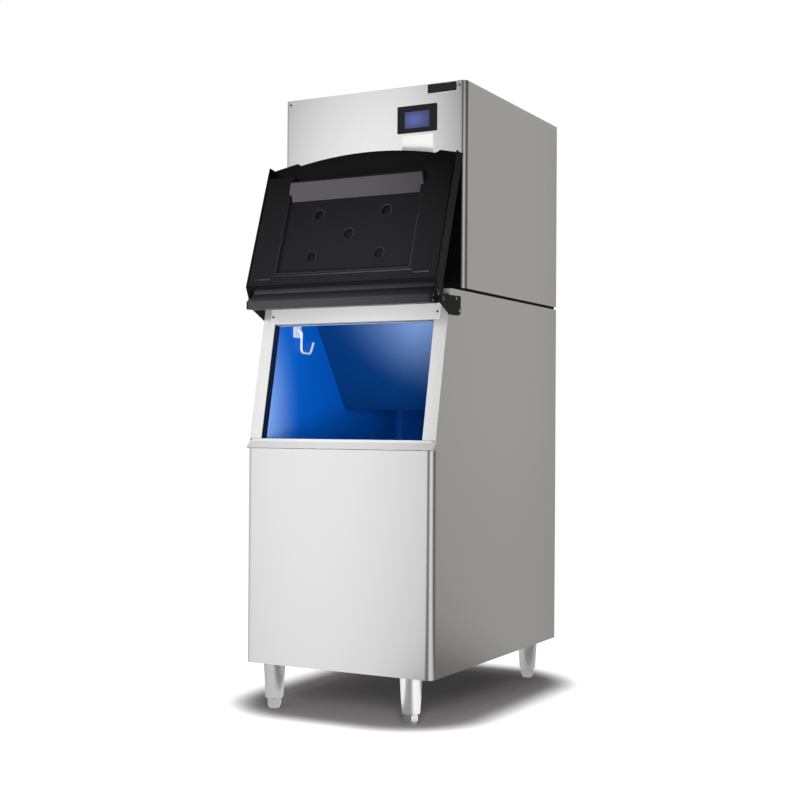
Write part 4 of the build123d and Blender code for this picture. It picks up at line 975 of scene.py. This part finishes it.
class ICEMAKER_OT_ice_works(bpy.types.Operator):
    """Finish the evaporator, its curtain and the water parts"""

    bl_idname = "icemaker.ice_works"
    bl_label = "Ice and water parts"

    def execute(self, context):
        dress(steel("Nickel plate", (0.62, 0.60, 0.56), roughness=0.30, along="X"), "evaporator")
        dress(steel("Copper tube", (0.72, 0.34, 0.18), roughness=0.25), "refrigerant_lines")
        dress(
            plastic("Clear moulding", (0.80, 0.88, 0.94), roughness=0.12, transmission=0.6, alpha=0.55),
            "water_curtain",
            "fill_tube",
        )
        dress(plastic("Pump plastic", (0.02, 0.02, 0.022), roughness=0.5), "pump_body", "pump_rotor")
        dress(
            plastic("Hose rubber", (0.03, 0.03, 0.032), roughness=0.6, bump=0.25),
            "pump_hose",
            "compressor_grommets",
        )
        dress(steel("Stem steel", (0.62, 0.62, 0.63), roughness=0.25), "float_stem")
        dress(steel("Valve brass", (0.72, 0.50, 0.20), roughness=0.28, along="Y"), "inlet_valve")
        return {"FINISHED"}


class ICEMAKER_OT_cooling_works(bpy.types.Operator):
    """Finish the compressor, condenser and fan"""

    bl_idname = "icemaker.cooling_works"
    bl_label = "Cooling parts"

    def execute(self, context):
        dress(
            plastic("Black enamel", (0.014, 0.014, 0.016), roughness=0.22, coat=0.4),
            "compressor",
            "fan_motor",
        )
        dress(steel("Fin aluminium", (0.72, 0.73, 0.75), roughness=0.35), "condenser")
        dress(plastic("Fan plastic", (0.02, 0.02, 0.022), roughness=0.45), "fan_blade")
        return {"FINISHED"}


# Lamps: name, place, what it is aimed at, width, height, its power among the light settings
LAMPS = (
    ("key lamp", (-1.2, -3.6, 2.6), (0.0, 0.0, 0.8), 2.6, 2.6, "key_power"),
    ("side lamp", (3.2, -0.6, 1.6), (0.0, 0.0, 0.8), 2.0, 2.4, "side_power"),
    ("top lamp", (0.0, 0.4, 4.0), (0.0, 0.0, 0.5), 2.5, 2.5, "top_power"),
    ("mouth lamp", (0.75, -1.45, 0.70), (-0.15, -0.1, 0.98), 0.5, 0.5, "mouth_power"),
)
FLOOR_REACH = 14.0
FLOOR_ROUGHNESS = 0.9
# How bright the floor's reflection of the room is in the machine, against the room itself
FLOOR_MIRROR = 0.93
# The floor has a shadow painted under the machine, over its real shadow: half the size of the painted
# shadow's dark middle, and how far beyond it the floor's own colour and its white glow come in
PAINTED_SHADOW_HALF = (0.12, 0.25, 0.0)
PAINTED_SHADOW_REACH = (0.17, 0.31)
GLOW_REACH = (0.19, 0.33)
PAINTED_SHADOW_COLOUR = (0.235, 0.220, 0.222, 1.0)
WHITE = (1.0, 1.0, 1.0, 1.0)
SENSOR_WIDTH = 36.0
VIEW_REACH = 60.0


def soft_lamp(name, place, target, width, height, power):
    lamp_data = bpy.data.lights.new(name, "AREA")
    lamp_data.shape = "RECTANGLE"
    lamp_data.size = width
    lamp_data.size_y = height
    lamp_data.energy = power
    lamp = bpy.data.objects.new(name, lamp_data)
    bpy.context.scene.collection.objects.link(lamp)
    lamp.visible_glossy = False
    aim = (Vector(target) - Vector(place)).to_track_quat("-Z", "Y")
    lamp.matrix_world = Matrix.Translation(Vector(place)) @ aim.to_matrix().to_4x4()


class ICEMAKER_OT_stage(bpy.types.Operator):
    """Build the floor, the white room, the lamps and the camera"""

    bl_idname = "icemaker.stage"
    bl_label = "Stage"

    def execute(self, context):
        scene = context.scene
        light = scene.icemaker_light
        self.floor(scene.icemaker_colours.floor, light.floor_glow)
        self.room(scene, light.surround)
        for name, place, target, width, height, power in LAMPS:
            soft_lamp(name, place, target, width, height, getattr(light, power))
        self.camera(scene)
        return {"FINISHED"}

    def floor(self, colour, glow):
        """A pale floor that keeps the machine's shadow, adds a painted shadow under it, and turns white for
        the camera further out.
        """
        mesh = bpy.data.meshes.new("studio_floor")
        corners = [(x * FLOOR_REACH, y * FLOOR_REACH, 0.0) for x, y in ((-1, -1), (1, -1), (1, 1), (-1, 1))]
        mesh.from_pydata(corners, [], [(0, 1, 2, 3)])
        floor = bpy.data.objects.new("studio_floor", mesh)
        bpy.context.scene.collection.objects.link(floor)
        material = bpy.data.materials.new("Studio floor")
        material.use_nodes = True
        tree = material.node_tree
        shader = tree.nodes["Principled BSDF"]
        shader.inputs["Roughness"].default_value = FLOOR_ROUGHNESS
        shader.inputs["Specular IOR Level"].default_value = 0.0
        shader.inputs["Emission Color"].default_value = WHITE
        place = tree.nodes.new("ShaderNodeNewGeometry")
        outside = vector_node(tree, "ABSOLUTE", (place, "Position"))
        beyond = vector_node(tree, "SUBTRACT", (outside, "Vector"), PAINTED_SHADOW_HALF)
        clipped = vector_node(tree, "MAXIMUM", (beyond, "Vector"), (0.0, 0.0, 0.0))
        away = vector_node(tree, "LENGTH", (clipped, "Vector"))
        # Painted shadow: the floor's colour darkens towards the patch under the machine
        painted_shadow_share = smooth_range(tree, (away, "Value"), *PAINTED_SHADOW_REACH, 0.0, 1.0)
        floor_with_painted_shadow = colour_mix(tree, (painted_shadow_share, "Result"), PAINTED_SHADOW_COLOUR, (*colour, 1.0))
        link(tree, floor_with_painted_shadow, MIX_RESULT, shader, "Base Color")
        fade = smooth_range(tree, (away, "Value"), *GLOW_REACH, 0.0, glow)
        path = tree.nodes.new("ShaderNodeLightPath")
        shown = math_node(tree, "MULTIPLY", (fade, "Result"), (path, "Is Camera Ray"))
        link(tree, shown, "Value", shader, "Emission Strength")
        mirrored = tree.nodes.new("ShaderNodeEmission")
        cards = effect_node(tree, "Room cards", direction=(place, "Position"))
        dimmed = math_node(tree, "MULTIPLY", (cards, "White"), FLOOR_MIRROR)
        link(tree, dimmed, "Value", mirrored, "Strength")
        either = tree.nodes.new("ShaderNodeMixShader")
        link(tree, path, "Is Glossy Ray", either, "Fac")
        link(tree, shader, "BSDF", either, 1)
        link(tree, mirrored, "Emission", either, 2)
        link(tree, either, "Shader", tree.nodes["Material Output"], "Surface")
        mesh.materials.append(material)

    def room(self, scene, surround):
        """White for the camera and for soft light; reflections also meet the dark cards of a studio."""
        world = bpy.data.worlds.new("White room")
        scene.world = world
        world.use_nodes = True
        tree = world.node_tree
        background = tree.nodes["Background"]
        background.inputs["Color"].default_value = WHITE
        direction = tree.nodes.new("ShaderNodeTexCoord")
        cards = effect_node(tree, "Room cards", direction=(direction, "Generated"))
        path = tree.nodes.new("ShaderNodeLightPath")
        seen = math_node(tree, "MAXIMUM", (path, "Is Camera Ray"), (path, "Is Transmission Ray"))
        soft = tree.nodes.new("ShaderNodeMix")
        soft.inputs["A"].default_value = surround
        soft.inputs["B"].default_value = 1.0
        link(tree, seen, "Value", soft, "Factor")
        mirrored = tree.nodes.new("ShaderNodeMix")
        link(tree, path, "Is Glossy Ray", mirrored, "Factor")
        link(tree, soft, "Result", mirrored, "A")
        link(tree, cards, "White", mirrored, "B")
        link(tree, mirrored, "Result", background, "Strength")

    def camera(self, scene):
        setup = scene.icemaker_camera
        camera_data = bpy.data.cameras.new("photo view")
        camera_data.sensor_width = SENSOR_WIDTH
        camera_data.lens = setup.lens
        camera_data.shift_x = setup.shift_x
        camera_data.shift_y = setup.shift_y
        camera_data.clip_end = VIEW_REACH
        camera = bpy.data.objects.new("photo view", camera_data)
        scene.collection.objects.link(camera)
        ahead = Vector(
            (
                -math.sin(setup.turn) * math.cos(setup.tilt),
                math.cos(setup.turn) * math.cos(setup.tilt),
                math.sin(setup.tilt),
            )
        )
        level = Vector((math.cos(setup.turn), math.sin(setup.turn), 0.0))
        upright = level.cross(ahead)
        right = math.cos(setup.roll) * level + math.sin(setup.roll) * upright
        up = -math.sin(setup.roll) * level + math.cos(setup.roll) * upright
        turn = Matrix((right, up, -ahead)).transposed()
        camera.matrix_world = Matrix.Translation(Vector(setup.place)) @ turn.to_4x4()
        scene.camera = camera
        scene.view_settings.view_transform = "Standard"


OPERATORS = (
    ICEMAKER_OT_bin_casing,
    ICEMAKER_OT_bin_inside,
    ICEMAKER_OT_legs,
    ICEMAKER_OT_door,
    ICEMAKER_OT_head_casing,
    ICEMAKER_OT_display,
    ICEMAKER_OT_ice_works,
    ICEMAKER_OT_cooling_works,
    ICEMAKER_OT_stage,
)


class ICEMAKER_PT_panel(bpy.types.Panel):
    """Lists the ice maker's pieces and settings"""

    bl_label = "Ice maker"
    bl_idname = "ICEMAKER_PT_panel"
    bl_space_type = "VIEW_3D"
    bl_region_type = "UI"
    bl_category = "Ice maker"

    def draw(self, context):
        layout = self.layout
        for operator in OPERATORS:
            layout.operator(operator.bl_idname)
        for settings in SETTINGS:
            group = getattr(context.scene, settings)
            for name in group.__annotations__:
                layout.prop(group, name)


SETTINGS = {
    "icemaker_colours": IceMakerColours,
    "icemaker_plates": IceMakerPlates,
    "icemaker_camera": IceMakerCamera,
    "icemaker_light": IceMakerLight,
}


def register():
    for group in SETTINGS.values():
        bpy.utils.register_class(group)
    for operator in OPERATORS:
        bpy.utils.register_class(operator)
    bpy.utils.register_class(ICEMAKER_PT_panel)
    for name, group in SETTINGS.items():
        setattr(bpy.types.Scene, name, PointerProperty(type=group))


def unregister():
    for name in SETTINGS:
        delattr(bpy.types.Scene, name)
    bpy.utils.unregister_class(ICEMAKER_PT_panel)
    for operator in reversed(OPERATORS):
        bpy.utils.unregister_class(operator)
    for group in reversed(tuple(SETTINGS.values())):
        bpy.utils.unregister_class(group)


def main():
    register()
    for operator in OPERATORS:
        family, action = operator.bl_idname.split(".")
        getattr(getattr(bpy.ops, family), action)()


if __name__ == "__main__":
    main()
